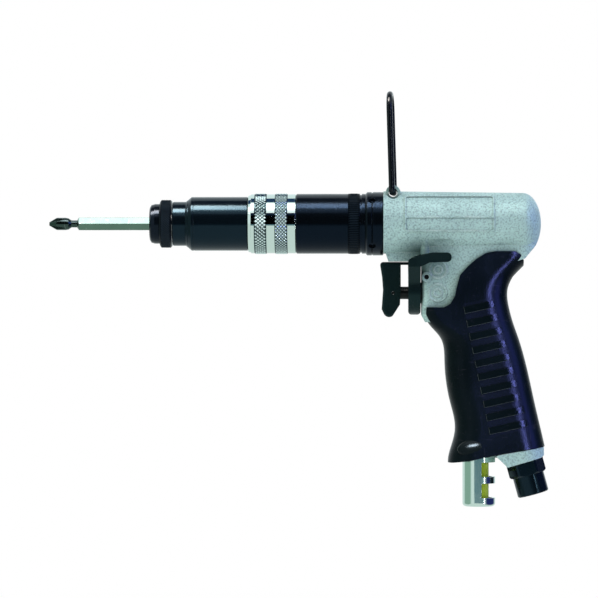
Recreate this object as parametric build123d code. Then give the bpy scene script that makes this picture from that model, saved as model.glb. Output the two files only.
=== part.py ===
from build123d import *
import math
import os

# Pneumatic pistol-grip torque screwdriver, in millimetres.
# The origin is the centre of the bit socket's mouth. The bit points to -X, the handle hangs to -Z.
# The front train is measured from the socket mouth, and the pistol from the housing's front face.

# Clearances that tie mating pieces
RUN_GAP = 0.05          # radial clearance of a turning or sliding fit
FIT_GAP = 0.03          # radial clearance of an assembled fit
SIDE_GAP = 0.3          # free space between faces that pass each other
END_GAP = 0.05          # joint line between stacked cases

# Bit and spindle
BIT_HEX = 6.35          # across flats
BIT_REACH = 51.3        # socket mouth to tip
BIT_SEATED = 18.7       # length held in the spindle
BIT_HEX_REACH = 36.0    # hexagon ahead of the socket mouth
BIT_NECK_R = 1.8
BIT_NECK_END = 41.5
BIT_HEAD_R = 3.15
BIT_HEAD_END = 47.7
BIT_TIP_R = 0.9
LOCK_X = 9.6            # bit groove and locking balls
LOCK_BALL_R = 1.75
LOCK_GROOVE_DEPTH = 0.6
SPINDLE_R = 6.2
SPINDLE_NECK_R = 5.0    # in the bearing
SPINDLE_HEAD = 20.0     # length of the full-radius head
FLANGE_R = 10.3
FLANGE_X = 33.5
FLANGE_THICK = 4.0

# Bit sleeve
SLEEVE_R = 10.1
SLEEVE_FACE_R = 8.4
SLEEVE_EDGE = 2.6
KNURL_X = 5.2
KNURL_R = 11.95
KNURL_EDGE = 0.6
SLEEVE_LENGTH = 11.3
SLEEVE_BORE_R = 7.6
SLEEVE_BORE = 7.0
STOP_RING_X = 0.5
STOP_RING_THICK = 1.0
SLEEVE_WIRE = 0.7

# Nose bushing and clutch case
NOSE_R = 11.2
NOSE_LENGTH = 6.7
NOSE_SPIGOT = 6.6
NOSE_SPIGOT_R = 9.9
CASE_R = 13.65
CASE_CHAMFER = 2.9
CLUTCH_CASE = 31.3      # visible length
CASE_SLEEVE_R = 12.9    # under the cover ring
CHAMBER_R = 10.53
CHAMBER_X = 33.0
CASE_LINES = (1.1, 4.1)     # fine turned lines, back from the case's front
LINE_DEPTH = 0.15
LINE_HALF = 0.15
SPIGOT_R = 12.3
SPIGOT = 5.6
WINDOW_LENGTH = 12.0
WINDOW_WIDTH = 8.0
WINDOW_X = 61.0

# Bearings: outer radius, inner radius, width
SPINDLE_BEARING = (9.5, 5.0, 5.0)
OUTPUT_BEARING = (10.5, 6.0, 5.0)
ROTOR_BEARING = (9.5, 3.0, 6.0)
BEARING_LIP = 1.5       # height of the shoulder that an outer race seats on
BEARING_INSET = 1.0     # from the face of its case to the race

# Cover ring
COVER_R = 15.0
COVER_LENGTH = 24.8
COVER_LIP = 1.9

# Clutch
CLUTCH_BALL_R = 1.75
CLUTCH_BALL_SINK = 0.65
CLUTCH_BALLS = 6
CLUTCH_RING_R = 7.6
CLUTCH_DISC_THICK = 5.0
SHAFT_R = 4.5
THREAD_R = 6.0
CLUTCH_WIRE = 2.2
CLUTCH_SPRING = 19.2
NUT_THICK = 6.0
NUT_SLOTS = 12
THREAD_RUN = 5.0        # thread ahead of the nut
PILOT_R = 3.0
PILOT = 5.6             # length of the carrier shaft's nose inside the spindle
SHOULDER_R = 7.2

# Gears
MODULE = 0.6
SUN_TEETH = 12
PLANET_TEETH = 12
RING_TEETH = 36
PLANETS = 3
ADDENDUM = 0.8          # times the module
RING_ADDENDUM = 0.55
ROOT_GAP = 0.15
FLANK_GAP = 0.12        # backlash taken off each tooth
RING_OUTER_R = 12.87
CARRIER_R = 10.0
PIN_R = 1.5
CARRIER_2_X = 86.0
CARRIER_2_THICK = 4.0
PLANET_2_WIDTH = 7.0
CARRIER_1_THICK = 3.5
PLANET_1_WIDTH = 6.0
RUN_SPACE = 0.4         # end float of the planets

# Gear case and clamp ring
GEAR_R = 15.2
GEAR_BAND_X = 106.7
GEAR_GROOVE = 1.0
GEAR_GROOVE_DEPTH = 0.5
GEAR_CASE = 34.8        # visible length
GEAR_NECK_R = 14.0
GEAR_SPIGOT = 3.4       # reach into the housing
CLAMP_R = 16.1
CLAMP_LENGTH = 9.2
CLAMP_EDGE = 1.1
CLAMP_GROOVE_X = 3.6
SPANNER_HOLE_R = 1.8
SPANNER_HOLE_DEPTH = 1.4

# Vane motor
PLATE_R = 13.2
FRONT_PLATE = 4.0
FRONT_BOSS = 9.0
FRONT_BOSS_R = 11.5
CYLINDER_LENGTH = 34.0
REAR_PLATE = 8.0
ROTOR_R = 9.8
ROTOR_ECCENTRIC = 1.2
ROTOR_SHAFT_R = 3.0
VANES = 5
VANE_THICK = 1.6
VANE_ROOT_R = 5.2

# Housing, measured back from its front face
BARREL_FRONT_R = 16.5
BARREL_REAR_R = 15.6
BARREL_LENGTH = 70.7
DOME_LENGTH = 9.2
NECK_HALF = 11.2
CORE_HALF = 7.5         # the core inside the rubber
FOOT_HALF = 10.0
NECK_FRONT_RADIUS = 3.5
NECK_REAR_RADIUS = 10.0
HANDLE_FACE = 19.2
UNDERSIDE_Z = -15.1     # flat underside ahead of the handle
LEDGE_X = (1.2, 2.6)    # foot and crest of the ledge's slanted front
LEDGE_Z = -19.15
LEDGE_HALF = 7.5
PANEL_X = (10.6, 56.0)  # cast frame round the bare name panel
PANEL_Z = (-4.4, 14.3)
PANEL_BAR_Z = 3.4
PANEL_LINE = 0.8
PANEL_RISE = 0.4
PANEL_CORNER = 1.8
RIDGE_R = 2.4           # rounded ridge up the handle's front corners
RIDGE_LINE = ((12.9, -5.0), (9.75, -11.6), (9.75, -17.0))
SCOOP_R = 5.5           # hollow over each lever arm
SCOOP_X = (28.5, 33.0)
SCOOP_Y = 17.0
SCOOP_Z = -12.5
MARK_R = 4.7            # round cast marks on the neck
MARK_LINE = 0.7
MARK_RISE = 0.35
MARKS = ((27.6, -23.3), (27.5, -35.0))
VALVE_Z = -35.1
VALVE_R = 7.2
VALVE_BUSHING_END = 45.0
VALVE_CHAMBER_R = 6.0
VALVE_CHAMBER_END = 53.5
PIN_X = 21.8
PIN_Z = -27.1
PIN_CROSS_R = 1.2
BOSS_R = 2.5
BOSS_HALF = 11.8
LUG_X = 4.9
LUG_Z = 15.7
LUG_R = 3.7
LUG_HALF = 7.0
LUG_HOLE_R = 2.2        # loose round the bail's feet, which are not quite in line
SPOT_R = 3.3            # spot faces beside the lug, which clear the bail's legs
SPOT_HALF = 11.2

# Hanger bail
WIRE_R = 1.5
BAIL_HALF = 8.9
BAIL_TOP = 67.3
BAIL_FOOT_IN = 4.4      # reach of each foot into the lug
BAIL_FOOT_BEND = 1.85
BAIL_TOP_BEND = 8.4
BAIL_TWIST = -4.0
BAIL_LEAN = 1.7

# Trigger, throttle and reverse lever
TRIGGER_HALF = 5.5
TRIGGER_TIP_R = 3.0
TRIGGER_CREST_R = 1.6
TRIGGER_EDGE = 1.3
TONGUE = (7.3, 15.6, -19.45, -20.9)    # guard over the trigger: x from and to, z from and to
TONGUE_HALF = 2.5
STEM_R = 3.2
STEM_START = 0.6
STEM_WAIST = (28.0, 40.0)
STEM_WAIST_R = 2.2
TRIGGER_PIN_R = 0.8
TRIGGER_PIN_X = 5.0
PORT_X = 36.5           # exhaust port through both valve sleeves
PORT_R = 2.5
PORT_INNER_R = 2.0
REVERSE_R = 5.35
LEVER_X = (12.6, 18.8)
LEVER_HUB_R = 11.1
ARM_OUT = 18.6
ARM_IN = 16.6
ARM_TOP = -15.0
PLATE_BOTTOM = -46.2
PLATE_CORNER = 1.8
HEAD_R = 4.9
HEAD_THICK = 1.8
VALVE_WIRE = 0.7
SEAL_WIRE_R = 0.55

# Grip foot, inlet and silencer
INLET_X = 71.5
INLET_Z = -120.4
INLET_TILT = 15.4
INLET_HEX = 17.0
INLET_HEX_LENGTH = 7.2
INLET_R = 8.0
INLET_LENGTH = 10.1
INLET_BORE_R = 5.72
INLET_BORE = 12.0
INLET_SPIGOT_R = 7.0
INLET_SPIGOT = 8.0
PASSAGE_R = 4.0
STRAINER_R = 5.1
STRAINER_RIM = 0.8
STRAINER_SEAT = 1.0     # depth of its seat below the thread
STRAINER_WALL = 0.7
STRAINER_CUP = 8.0
FOOT_CLEAR_R = 11.0     # turned space round the inlet's hexagon
SILENCER_X = 48.4
SILENCER_R = 8.3
SILENCER_WALL = 1.5
SILENCER_BOTTOM = -143.3
SILENCER_TOP = -114.3
SILENCER_FLOOR = 2.0
SILENCER_EDGE = 1.8
EXHAUST_R = 3.6
FELT_R = 5.0
SLOT_ANGLE = 164.0
SLOTS = ((-128.2, -120.9), (-138.9, -131.6))

# Stations that follow from the sizes above
NOSE_X = SLEEVE_LENGTH + SIDE_GAP
CASE_X = NOSE_X + NOSE_LENGTH + END_GAP
COVER_X = CASE_X + CLUTCH_CASE
GEAR_X = COVER_X + COVER_LENGTH
CLAMP_X = GEAR_X + GEAR_CASE
HOUSING_X = CLAMP_X + CLAMP_LENGTH + 2 * END_GAP
PLANET_RADIUS = MODULE * (SUN_TEETH + PLANET_TEETH) / 2
PLANET_2_X = CARRIER_2_X + CARRIER_2_THICK + RUN_SPACE
CARRIER_1_X = PLANET_2_X + PLANET_2_WIDTH + RUN_SPACE
PLANET_1_X = CARRIER_1_X + CARRIER_1_THICK + RUN_SPACE
FRONT_PLATE_X = HOUSING_X + GEAR_SPIGOT + END_GAP
CYLINDER_X = FRONT_PLATE_X + FRONT_PLATE
REAR_PLATE_X = CYLINDER_X + CYLINDER_LENGTH
FRONT_BEARING_X = FRONT_PLATE_X - FRONT_BOSS + BEARING_INSET
REAR_BEARING_X = REAR_PLATE_X + BEARING_INSET
DISC_X = FLANGE_X + FLANGE_THICK + 2 * (CLUTCH_BALL_R - CLUTCH_BALL_SINK) + END_GAP
SPRING_X = DISC_X + CLUTCH_DISC_THICK + END_GAP
NUT_X = SPRING_X + CLUTCH_SPRING + END_GAP
OUTPUT_BEARING_X = GEAR_X + BEARING_INSET
REAR_END = BARREL_LENGTH + DOME_LENGTH
PISTOL = Pos(HOUSING_X, 0, 0)


def turned(points, y=0.0, z=0.0):
    """A solid of revolution about a line along X, from its half profile of (x, radius)."""
    face = make_face(Polyline(*points, close=True))
    return Pos(0, y, z) * revolve(Plane.XZ * face, Axis.X)


def ring(x, length, outer, inner=0.0, y=0.0, z=0.0):
    """A plain tube or disc along X."""
    return turned([(x, inner), (x + length, inner), (x + length, outer), (x, outer)], y, z)


def rod(start, end, radius):
    """A round bar between two points."""
    a = Vector(*start)
    b = Vector(*end)
    plane = Plane(origin=a, z_dir=b - a)
    return extrude(plane * Circle(radius), (b - a).length)


def side(points, half, inner=0.0):
    """An outline in the XZ plane, as wide as half on both sides, or two cheeks beyond inner."""
    face = make_face(Polyline(*points, close=True))
    body = extrude(Plane.XZ * face, half, both=True)
    if inner:
        body -= extrude(Plane.XZ * face, inner, both=True)
    return body


def cross(x, length, face):
    """A YZ outline pushed back along X."""
    return Pos(x, 0, 0) * extrude(Plane.YZ * face, length)


def around(part, count, start=0.0):
    """Copies of a piece, evenly spaced about X."""
    return [Rot(start + 360 * i / count, 0, 0) * part for i in range(count)]


def coil(x, length, mean_r, wire, turns, y=0.0, z=0.0):
    """A helical spring along X with its wire inside the given length."""
    pitch = (length - wire) / turns
    path = Helix(pitch=pitch, height=length - wire, radius=mean_r)
    section = Plane(origin=path @ 0, z_dir=path % 0) * Circle(wire / 2)
    spring = sweep(section, path=path)
    return Pos(x + wire / 2, y, z) * Rot(0, 90, 0) * spring


# Screwdriver bit, spindle and bit sleeve

def hexagon(x, length, across):
    return cross(x, length, RegularPolygon(across / math.sqrt(3), 6))


def screwdriver_bit():
    corner = BIT_HEX / math.sqrt(3)
    groove = corner - BIT_HEX / 2 + LOCK_GROOVE_DEPTH
    envelope = turned([
        (-BIT_HEX_REACH - 1.2, 0), (BIT_SEATED, 0), (BIT_SEATED, corner - 0.7),
        (BIT_SEATED - 0.7, corner), (LOCK_X + 2.2, corner), (LOCK_X + 1.0, corner - groove),
        (LOCK_X - 1.0, corner - groove), (LOCK_X - 2.2, corner), (-BIT_HEX_REACH, corner),
        (-BIT_HEX_REACH - 1.2, BIT_NECK_R),
    ])
    shank = hexagon(-BIT_HEX_REACH - 1.2, BIT_SEATED + BIT_HEX_REACH + 1.2, BIT_HEX) & envelope
    head = turned([
        (-BIT_REACH, 0), (-BIT_HEX_REACH - 0.4, 0), (-BIT_HEX_REACH - 0.4, BIT_NECK_R),
        (-BIT_NECK_END + 1.5, BIT_NECK_R), (-BIT_NECK_END, BIT_HEAD_R - 0.3),
        (-BIT_NECK_END - 1.5, BIT_HEAD_R), (-BIT_HEAD_END + 0.7, BIT_HEAD_R),
        (-BIT_HEAD_END, BIT_HEAD_R - 0.1), (-BIT_REACH, BIT_TIP_R),
    ])
    flute = Pos(-BIT_REACH - 1, 0, BIT_TIP_R - 0.35) * Rot(0, -14, 0) * Rot(45, 0, 0)
    flute = flute * Box(9.5, 3, 3, align=(Align.MIN, Align.MIN, Align.MIN))
    for cut in around(flute, 4, 45):
        head -= cut
    return shank + head


def lock_ball_places():
    height = BIT_HEX / 2 - LOCK_GROOVE_DEPTH + LOCK_BALL_R
    return [Pos(LOCK_X, 0, height), Pos(LOCK_X, 0, -height)]


def bit_lock_balls():
    return Compound([place * Sphere(LOCK_BALL_R) for place in lock_ball_places()])


def spindle():
    rear = FLANGE_X + FLANGE_THICK
    body = turned([
        (0, 0), (rear, 0), (rear, FLANGE_R), (FLANGE_X, FLANGE_R), (FLANGE_X, SPINDLE_NECK_R),
        (SPINDLE_HEAD, SPINDLE_NECK_R), (SPINDLE_HEAD, SPINDLE_R), (0, SPINDLE_R),
    ])
    body -= hexagon(0, BIT_SEATED + 2 * RUN_GAP, BIT_HEX + 2 * RUN_GAP)
    body -= ring(STOP_RING_X, STOP_RING_THICK, SPINDLE_R, SPINDLE_R - 0.6)
    body -= ring(rear - PILOT - RUN_SPACE, PILOT + RUN_SPACE, PILOT_R + RUN_GAP)
    lock_hole = rod((LOCK_X, 0, 0), (LOCK_X, 0, SPINDLE_R + 1), LOCK_BALL_R + RUN_GAP)
    for cut in around(lock_hole, 2):
        body -= cut
    for place in clutch_ball_places():
        body -= place * Sphere(CLUTCH_BALL_R + 0.01)
    return body


def sleeve_stop_ring():
    whole = ring(STOP_RING_X, STOP_RING_THICK, SLEEVE_BORE_R - 2 * RUN_GAP, SPINDLE_R - 0.6)
    gap = Pos(STOP_RING_X - 1, -1, SPINDLE_R - 1) * Box(4, 2, 4, align=(Align.MIN, Align.MIN, Align.MIN))
    return whole - gap


def bit_sleeve():
    bore = SPINDLE_R + RUN_GAP
    body = turned([
        (0, SLEEVE_BORE_R), (0, SLEEVE_FACE_R), (SLEEVE_EDGE * 0.3, SLEEVE_R - 0.5),
        (SLEEVE_EDGE, SLEEVE_R), (KNURL_X - 0.3, SLEEVE_R), (KNURL_X, SLEEVE_R - 0.5),
        (KNURL_X, KNURL_R - KNURL_EDGE), (KNURL_X + KNURL_EDGE, KNURL_R),
        (SLEEVE_LENGTH - KNURL_EDGE, KNURL_R), (SLEEVE_LENGTH, KNURL_R - KNURL_EDGE),
        (SLEEVE_LENGTH, bore), (SLEEVE_BORE, bore), (SLEEVE_BORE, SLEEVE_BORE_R),
    ])
    return body


def sleeve_spring():
    start = STOP_RING_X + STOP_RING_THICK + END_GAP
    mean_r = (SPINDLE_R + SLEEVE_BORE_R) / 2
    return coil(start, SLEEVE_BORE - END_GAP - start, mean_r, SLEEVE_WIRE, 3.5)


# Clutch

def clutch_ball_x():
    return FLANGE_X + FLANGE_THICK + CLUTCH_BALL_R - CLUTCH_BALL_SINK


def clutch_ball_places():
    step = 360 / CLUTCH_BALLS
    return [Rot(step * i, 0, 0) * Pos(clutch_ball_x(), 0, CLUTCH_RING_R) for i in range(CLUTCH_BALLS)]


def clutch_balls():
    return Compound([place * Sphere(CLUTCH_BALL_R) for place in clutch_ball_places()])


def clutch_disc():
    disc = ring(DISC_X, CLUTCH_DISC_THICK, FLANGE_R, SHAFT_R + RUN_GAP)
    groove = Pos(clutch_ball_x(), 0, 0) * Rot(0, 90, 0) * Torus(CLUTCH_RING_R, CLUTCH_BALL_R + RUN_GAP)
    return disc - groove


def clutch_spring():
    return coil(SPRING_X, CLUTCH_SPRING, CLUTCH_RING_R, CLUTCH_WIRE, 4.5)


def adjusting_nut():
    nut = ring(NUT_X, NUT_THICK, FLANGE_R, THREAD_R + RUN_GAP)
    key = Pos(NUT_X + NUT_THICK / 2, 0, FLANGE_R) * Box(NUT_THICK * 0.6, 2, 3)
    for cut in around(key, NUT_SLOTS):
        nut -= cut
    return nut


# Cases along the barrel

def nose_bushing():
    end = NOSE_X + NOSE_LENGTH
    bore = SPINDLE_R + RUN_GAP
    return turned([
        (NOSE_X, bore), (NOSE_X, NOSE_R - 0.4), (NOSE_X + 0.4, NOSE_R), (end, NOSE_R),
        (end, NOSE_SPIGOT_R), (end + NOSE_SPIGOT, NOSE_SPIGOT_R), (end + NOSE_SPIGOT, bore),
    ])


def clutch_case():
    seat = NOSE_X + NOSE_LENGTH + NOSE_SPIGOT + END_GAP
    bearing_r, _, bearing_w = SPINDLE_BEARING
    end = GEAR_X + SPIGOT
    body = turned([
        (CASE_X, NOSE_SPIGOT_R + FIT_GAP), (CASE_X, NOSE_R + 0.1), (CASE_X + CASE_CHAMFER, CASE_R),
        (COVER_X - END_GAP, CASE_R), (COVER_X - END_GAP, CASE_SLEEVE_R), (GEAR_X, CASE_SLEEVE_R),
        (GEAR_X, SPIGOT_R), (end, SPIGOT_R), (end, CHAMBER_R), (CHAMBER_X, CHAMBER_R),
        (CHAMBER_X, bearing_r - BEARING_LIP), (seat + bearing_w, bearing_r - BEARING_LIP),
        (seat + bearing_w, bearing_r + FIT_GAP), (seat, bearing_r + FIT_GAP),
        (seat, NOSE_SPIGOT_R + FIT_GAP),
    ])
    body -= Pos(WINDOW_X, 0, CASE_R) * Box(WINDOW_LENGTH, WINDOW_WIDTH, 2 * CASE_R)
    for place in CASE_LINES:
        x = CASE_X + place
        surface = min(CASE_R, NOSE_R + 0.1 + (CASE_R - NOSE_R - 0.1) * place / CASE_CHAMFER)
        body -= ring(x - LINE_HALF, 2 * LINE_HALF, CASE_R + 1, surface - LINE_DEPTH)
    return body


def cover_ring():
    start = COVER_X
    end = GEAR_X - END_GAP
    inner = CASE_SLEEVE_R + RUN_GAP
    body = turned([
        (start, inner), (start, COVER_R - COVER_LIP), (start + 0.5, COVER_R - 0.7),
        (start + COVER_LIP, COVER_R - 0.3), (start + COVER_LIP, COVER_R),
        (end - 0.4, COVER_R), (end, COVER_R - 0.4), (end, inner),
    ])
    window = Pos(WINDOW_X, COVER_R, 0) * Box(WINDOW_LENGTH, 8, WINDOW_WIDTH)
    return body - window


def gear_case():
    band_end = CLAMP_X
    end = HOUSING_X + GEAR_SPIGOT
    groove_end = GEAR_BAND_X + GEAR_GROOVE
    ring_seat = RING_OUTER_R + FIT_GAP
    return turned([
        (GEAR_X, SPIGOT_R + FIT_GAP), (GEAR_X, GEAR_R - 0.3), (GEAR_X + 0.3, GEAR_R),
        (GEAR_BAND_X, GEAR_R), (GEAR_BAND_X, GEAR_R - GEAR_GROOVE_DEPTH),
        (groove_end, GEAR_R - GEAR_GROOVE_DEPTH), (groove_end, GEAR_R), (band_end, GEAR_R),
        (band_end, GEAR_NECK_R), (end, GEAR_NECK_R), (end, ring_seat),
        (GEAR_X + SPIGOT + 0.1, ring_seat), (GEAR_X + SPIGOT + 0.1, SPIGOT_R + FIT_GAP),
    ])


def clamp_ring():
    start = CLAMP_X + END_GAP
    end = start + CLAMP_LENGTH
    groove = start + CLAMP_GROOVE_X
    body = turned([
        (start, GEAR_NECK_R + FIT_GAP), (start, GEAR_R - 0.2), (start + CLAMP_EDGE, CLAMP_R),
        (groove - 0.4, CLAMP_R), (groove, CLAMP_R - 0.4), (groove + 0.4, CLAMP_R),
        (end - 0.3, CLAMP_R), (end, CLAMP_R - 0.3), (end, GEAR_NECK_R + FIT_GAP),
    ])
    hole = rod((groove, 0, CLAMP_R - SPANNER_HOLE_DEPTH), (groove, 0, CLAMP_R + 1), SPANNER_HOLE_R)
    for cut in around(hole, 4, 45):
        body -= cut
    return body


# Ball bearings

def bearing(x, size, centre=0.0):
    """Outer race, balls and inner race of a ball bearing."""
    outer, inner, width = size
    middle = (outer + inner) / 2
    ball_r = min(width, outer - inner) * 0.28
    land = ball_r * 0.55
    groove = Pos(x + width / 2, 0, 0) * Rot(0, 90, 0) * Torus(middle, ball_r + 0.02)
    outer_race = ring(x, width, outer, middle + land) - groove
    inner_race = ring(x, width, middle - land, inner + 0.01) - groove
    count = int(2 * math.pi * middle / (2.6 * ball_r))
    ball = Pos(x + width / 2, 0, middle) * Sphere(ball_r)
    balls = Compound(around(ball, count))
    return outer_race, balls, inner_race


# Planetary gears

def involute(base, radius):
    turn = math.acos(min(1.0, base / radius))
    return math.tan(turn) - turn


def tooth_outline(teeth, root_r, tip_r, widen, phase, steps=3):
    """Corners of a gear whose teeth are widened or thinned by half of widen on each flank."""
    pitch_r = MODULE * teeth / 2
    base = pitch_r * math.cos(math.radians(20))
    start = max(root_r, base)
    half = math.pi / (2 * teeth) + widen / (2 * pitch_r) + involute(base, pitch_r)
    radii = [start + (tip_r - start) * i / steps for i in range(steps + 1)]
    flank = [(r, half - involute(base, r)) for r in radii]
    if root_r < base:
        flank = [(root_r, half)] + flank
    corners = []
    for i in range(teeth):
        middle = phase + 2 * math.pi * i / teeth
        corners += [(r, middle - a) for r, a in flank]
        corners += [(r, middle + a) for r, a in reversed(flank)]
    return [(r * math.cos(a), r * math.sin(a)) for r, a in corners]


def spur(x, width, teeth, phase):
    pitch_r = MODULE * teeth / 2
    root_r = pitch_r - ADDENDUM * MODULE - ROOT_GAP
    tip_r = pitch_r + ADDENDUM * MODULE
    corners = tooth_outline(teeth, root_r, tip_r, -FLANK_GAP, phase)
    return cross(x, width, make_face(Polyline(*corners, close=True)))


def ring_gear():
    pitch_r = MODULE * RING_TEETH / 2
    tip_r = pitch_r - RING_ADDENDUM * MODULE
    root_r = pitch_r + ADDENDUM * MODULE + ROOT_GAP
    corners = tooth_outline(RING_TEETH, tip_r, root_r, FLANK_GAP, math.pi / RING_TEETH)
    start = CARRIER_2_X + CARRIER_2_THICK
    length = FRONT_PLATE_X - FRONT_BOSS - END_GAP - start
    space = cross(start - 1, length + 2, make_face(Polyline(*corners, close=True)))
    return ring(start, length, RING_OUTER_R) - space


def planet_place(index):
    angle = math.radians(360 / PLANETS * index)
    return PLANET_RADIUS * math.cos(angle), PLANET_RADIUS * math.sin(angle)


def planet(x, width, index):
    y, z = planet_place(index)
    gear = spur(x, width, PLANET_TEETH, math.pi / PLANET_TEETH)
    return Pos(0, y, z) * (gear - ring(x, width, PIN_R + RUN_GAP))


def planet_pins(x, length):
    pins = []
    for index in range(PLANETS):
        y, z = planet_place(index)
        pins.append(ring(x, length, PIN_R, 0, y, z))
    return Compound(pins)


def pin_holes(x, length):
    holes = []
    for index in range(PLANETS):
        y, z = planet_place(index)
        holes.append(ring(x, length, PIN_R + 0.005, 0, y, z))
    return holes


def output_carrier():
    plate_end = CARRIER_2_X + CARRIER_2_THICK
    pilot = FLANGE_X + FLANGE_THICK - PILOT
    shoulder = FLANGE_X + FLANGE_THICK + RUN_SPACE
    thread = NUT_X - THREAD_RUN
    bearing_end = OUTPUT_BEARING_X + OUTPUT_BEARING[2]
    body = turned([
        (pilot, 0), (plate_end, 0), (plate_end, CARRIER_R), (CARRIER_2_X, CARRIER_R),
        (CARRIER_2_X, SHOULDER_R), (bearing_end, SHOULDER_R), (bearing_end, THREAD_R),
        (thread, THREAD_R), (thread, SHAFT_R), (shoulder, SHAFT_R), (shoulder, PILOT_R), (pilot, PILOT_R),
    ])
    for hole in pin_holes(CARRIER_2_X, CARRIER_2_THICK):
        body -= hole
    return body


def first_stage_carrier():
    plate = ring(CARRIER_1_X, CARRIER_1_THICK, CARRIER_R)
    for hole in pin_holes(CARRIER_1_X, CARRIER_1_THICK):
        plate -= hole
    return plate + spur(PLANET_2_X, CARRIER_1_X - PLANET_2_X, SUN_TEETH, 0)


# Vane motor

def front_end_plate():
    outer, _, width = ROTOR_BEARING
    boss_x = FRONT_PLATE_X - FRONT_BOSS
    return turned([
        (boss_x, outer - BEARING_LIP), (boss_x, FRONT_BOSS_R), (FRONT_PLATE_X, FRONT_BOSS_R),
        (FRONT_PLATE_X, PLATE_R), (CYLINDER_X, PLATE_R), (CYLINDER_X, ROTOR_SHAFT_R + 0.6),
        (FRONT_BEARING_X + width + 0.05, ROTOR_SHAFT_R + 0.6),
        (FRONT_BEARING_X + width + 0.05, outer + 0.01), (FRONT_BEARING_X, outer + 0.01),
        (FRONT_BEARING_X, outer - BEARING_LIP),
    ])


def motor_cylinder():
    bore_r = ROTOR_R + RUN_GAP + ROTOR_ECCENTRIC
    body = ring(CYLINDER_X, CYLINDER_LENGTH, PLATE_R)
    body -= ring(CYLINDER_X, CYLINDER_LENGTH, bore_r, 0, 0, -ROTOR_ECCENTRIC)
    return body


def rear_end_plate():
    outer, _, width = ROTOR_BEARING
    end = REAR_PLATE_X + REAR_PLATE
    return turned([
        (REAR_PLATE_X, ROTOR_SHAFT_R + 0.6), (REAR_PLATE_X, PLATE_R), (end, PLATE_R),
        (end, outer + 0.01), (REAR_BEARING_X, outer + 0.01), (REAR_BEARING_X, ROTOR_SHAFT_R + 0.6),
    ])


def vane_shape(thick, root_r, tip_r):
    start = CYLINDER_X + RUN_GAP
    length = CYLINDER_LENGTH - 2 * RUN_GAP
    blade = Box(length, thick, tip_r - root_r, align=(Align.MIN, Align.CENTER, Align.MIN))
    return Pos(start, 0, root_r) * blade


def rotor():
    start = CYLINDER_X + RUN_GAP
    end = REAR_PLATE_X - RUN_GAP
    front_end = PLANET_1_X + PLANET_1_WIDTH + 0.6
    shaft_end = REAR_BEARING_X + ROTOR_BEARING[2]
    body = turned([
        (front_end, 0), (shaft_end, 0), (shaft_end, ROTOR_SHAFT_R), (end, ROTOR_SHAFT_R),
        (end, ROTOR_R), (start, ROTOR_R), (start, ROTOR_SHAFT_R), (front_end, ROTOR_SHAFT_R),
    ])
    for slot in around(vane_shape(VANE_THICK + 2 * RUN_GAP, VANE_ROOT_R - 0.2, ROTOR_R + 1), VANES):
        body -= slot
    return body + spur(PLANET_1_X, front_end - PLANET_1_X, SUN_TEETH, 0)


def rotor_vanes():
    return Compound(around(vane_shape(VANE_THICK, VANE_ROOT_R, ROTOR_R), VANES))


# Pistol housing, in its own frame: x from the housing's front face

NECK_OUTLINE = [
    (HANDLE_FACE, -4), (HANDLE_FACE, -46.2), (HANDLE_FACE + 2.0, -49.9), (40.0, -49.9), (52.0, -36.0),
    (57.0, -30.0), (REAR_END - 19.4, -22.0), (REAR_END - 14.9, -19.8), (REAR_END - 8.6, -17.9),
    (REAR_END - 2.8, -10.9), (REAR_END - 0.7, -4.0), (REAR_END - 19.9, -1.0),
]

STEM_OUTLINE = [
    (30.0, -45.0), (33.6, -63.0), (39.4, -105.0), (39.4, -116.0), (77.0, -112.6), (77.0, -105.0),
    (73.2, -89.1), (68.8, -69.3), (64.9, -56.0), (60.9, -41.0), (60.2, -34.5), (52.0, -34.5),
]

ROOT_OUTLINE = [
    (39.4, -108.0), (39.4, -118.3), (62.0, -118.3), (77.7, -114.0), (77.7, -108.0),
]

FOOT_OUTLINE = [
    (56.9, -117.2), (60.1, -116.45), (81.1, -112.9), (81.1, -117.0), (79.5, -118.2), (62.5, -123.1),
    (59.6, -120.2), (57.4, -118.3),
]

GRIP_EDGE = [
    (21.7, -42.4), (30.4, -42.4), (33.8, -40.6), (36.0, -36.7), (36.8, -32.7), (38.6, -26.2),
    (42.5, -21.8), (46.9, -17.9), (51.7, -15.0), (56.5, -14.1), (66.6, -14.1), (69.7, -16.1),
    (70.9, -18.7), (71.0, -22.5), (68.3, -24.0), (65.4, -27.0), (64.2, -29.4), (90.0, -40.0),
    (90.0, -111.1), (80.0, -112.9), (60.1, -116.3), (43.1, -119.9), (35.1, -120.9),
    (20.0, -121.2), (10.0, -100.0), (10.0, -48.0), (21.4, -48.0),
]

# Height, front, rear, half width and front corner of the grip's outer surface
GRIP_SECTIONS = [
    (-9.0, 10.0, 73.5, 12.6, 8.0),
    (-20.0, 10.0, 72.5, 12.9, 7.0),
    (-29.4, 13.0, 64.3, 13.6, 6.0),
    (-34.5, 16.0, 62.8, 13.9, 5.5),
    (-42.0, 19.6, 63.5, 14.2, 5.5),
    (-50.0, 22.5, 65.6, 14.5, 7.5),
    (-58.0, 29.0, 68.4, 14.6, 12.0),
    (-70.0, 31.0, 71.9, 14.6, 12.8),
    (-90.0, 33.7, 76.4, 14.5, 12.8),
    (-105.0, 36.2, 79.9, 14.8, 12.8),
    (-116.0, 33.4, 82.4, 15.2, 12.8),
    (-124.0, 33.0, 84.2, 15.4, 12.8),
]
GRIP_REAR_CORNER = 12.0

# Raised bars on both sides of the grip
BARS = 10
BAR_PITCH = 6.9
BAR_WIDTH = 3.5
BAR_LENGTH = 42.0
BAR_RISE = 0.6
BAR_TILT = 12.5
BAR_ROOT = 9.0          # half width inside which no bar reaches
BAR_FIELD = [(40.4, -42.0), (54.6, -37.0), (75.0, -108.0), (54.6, -111.0)]
BAR_TOP = (47.0, -42.5)

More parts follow.
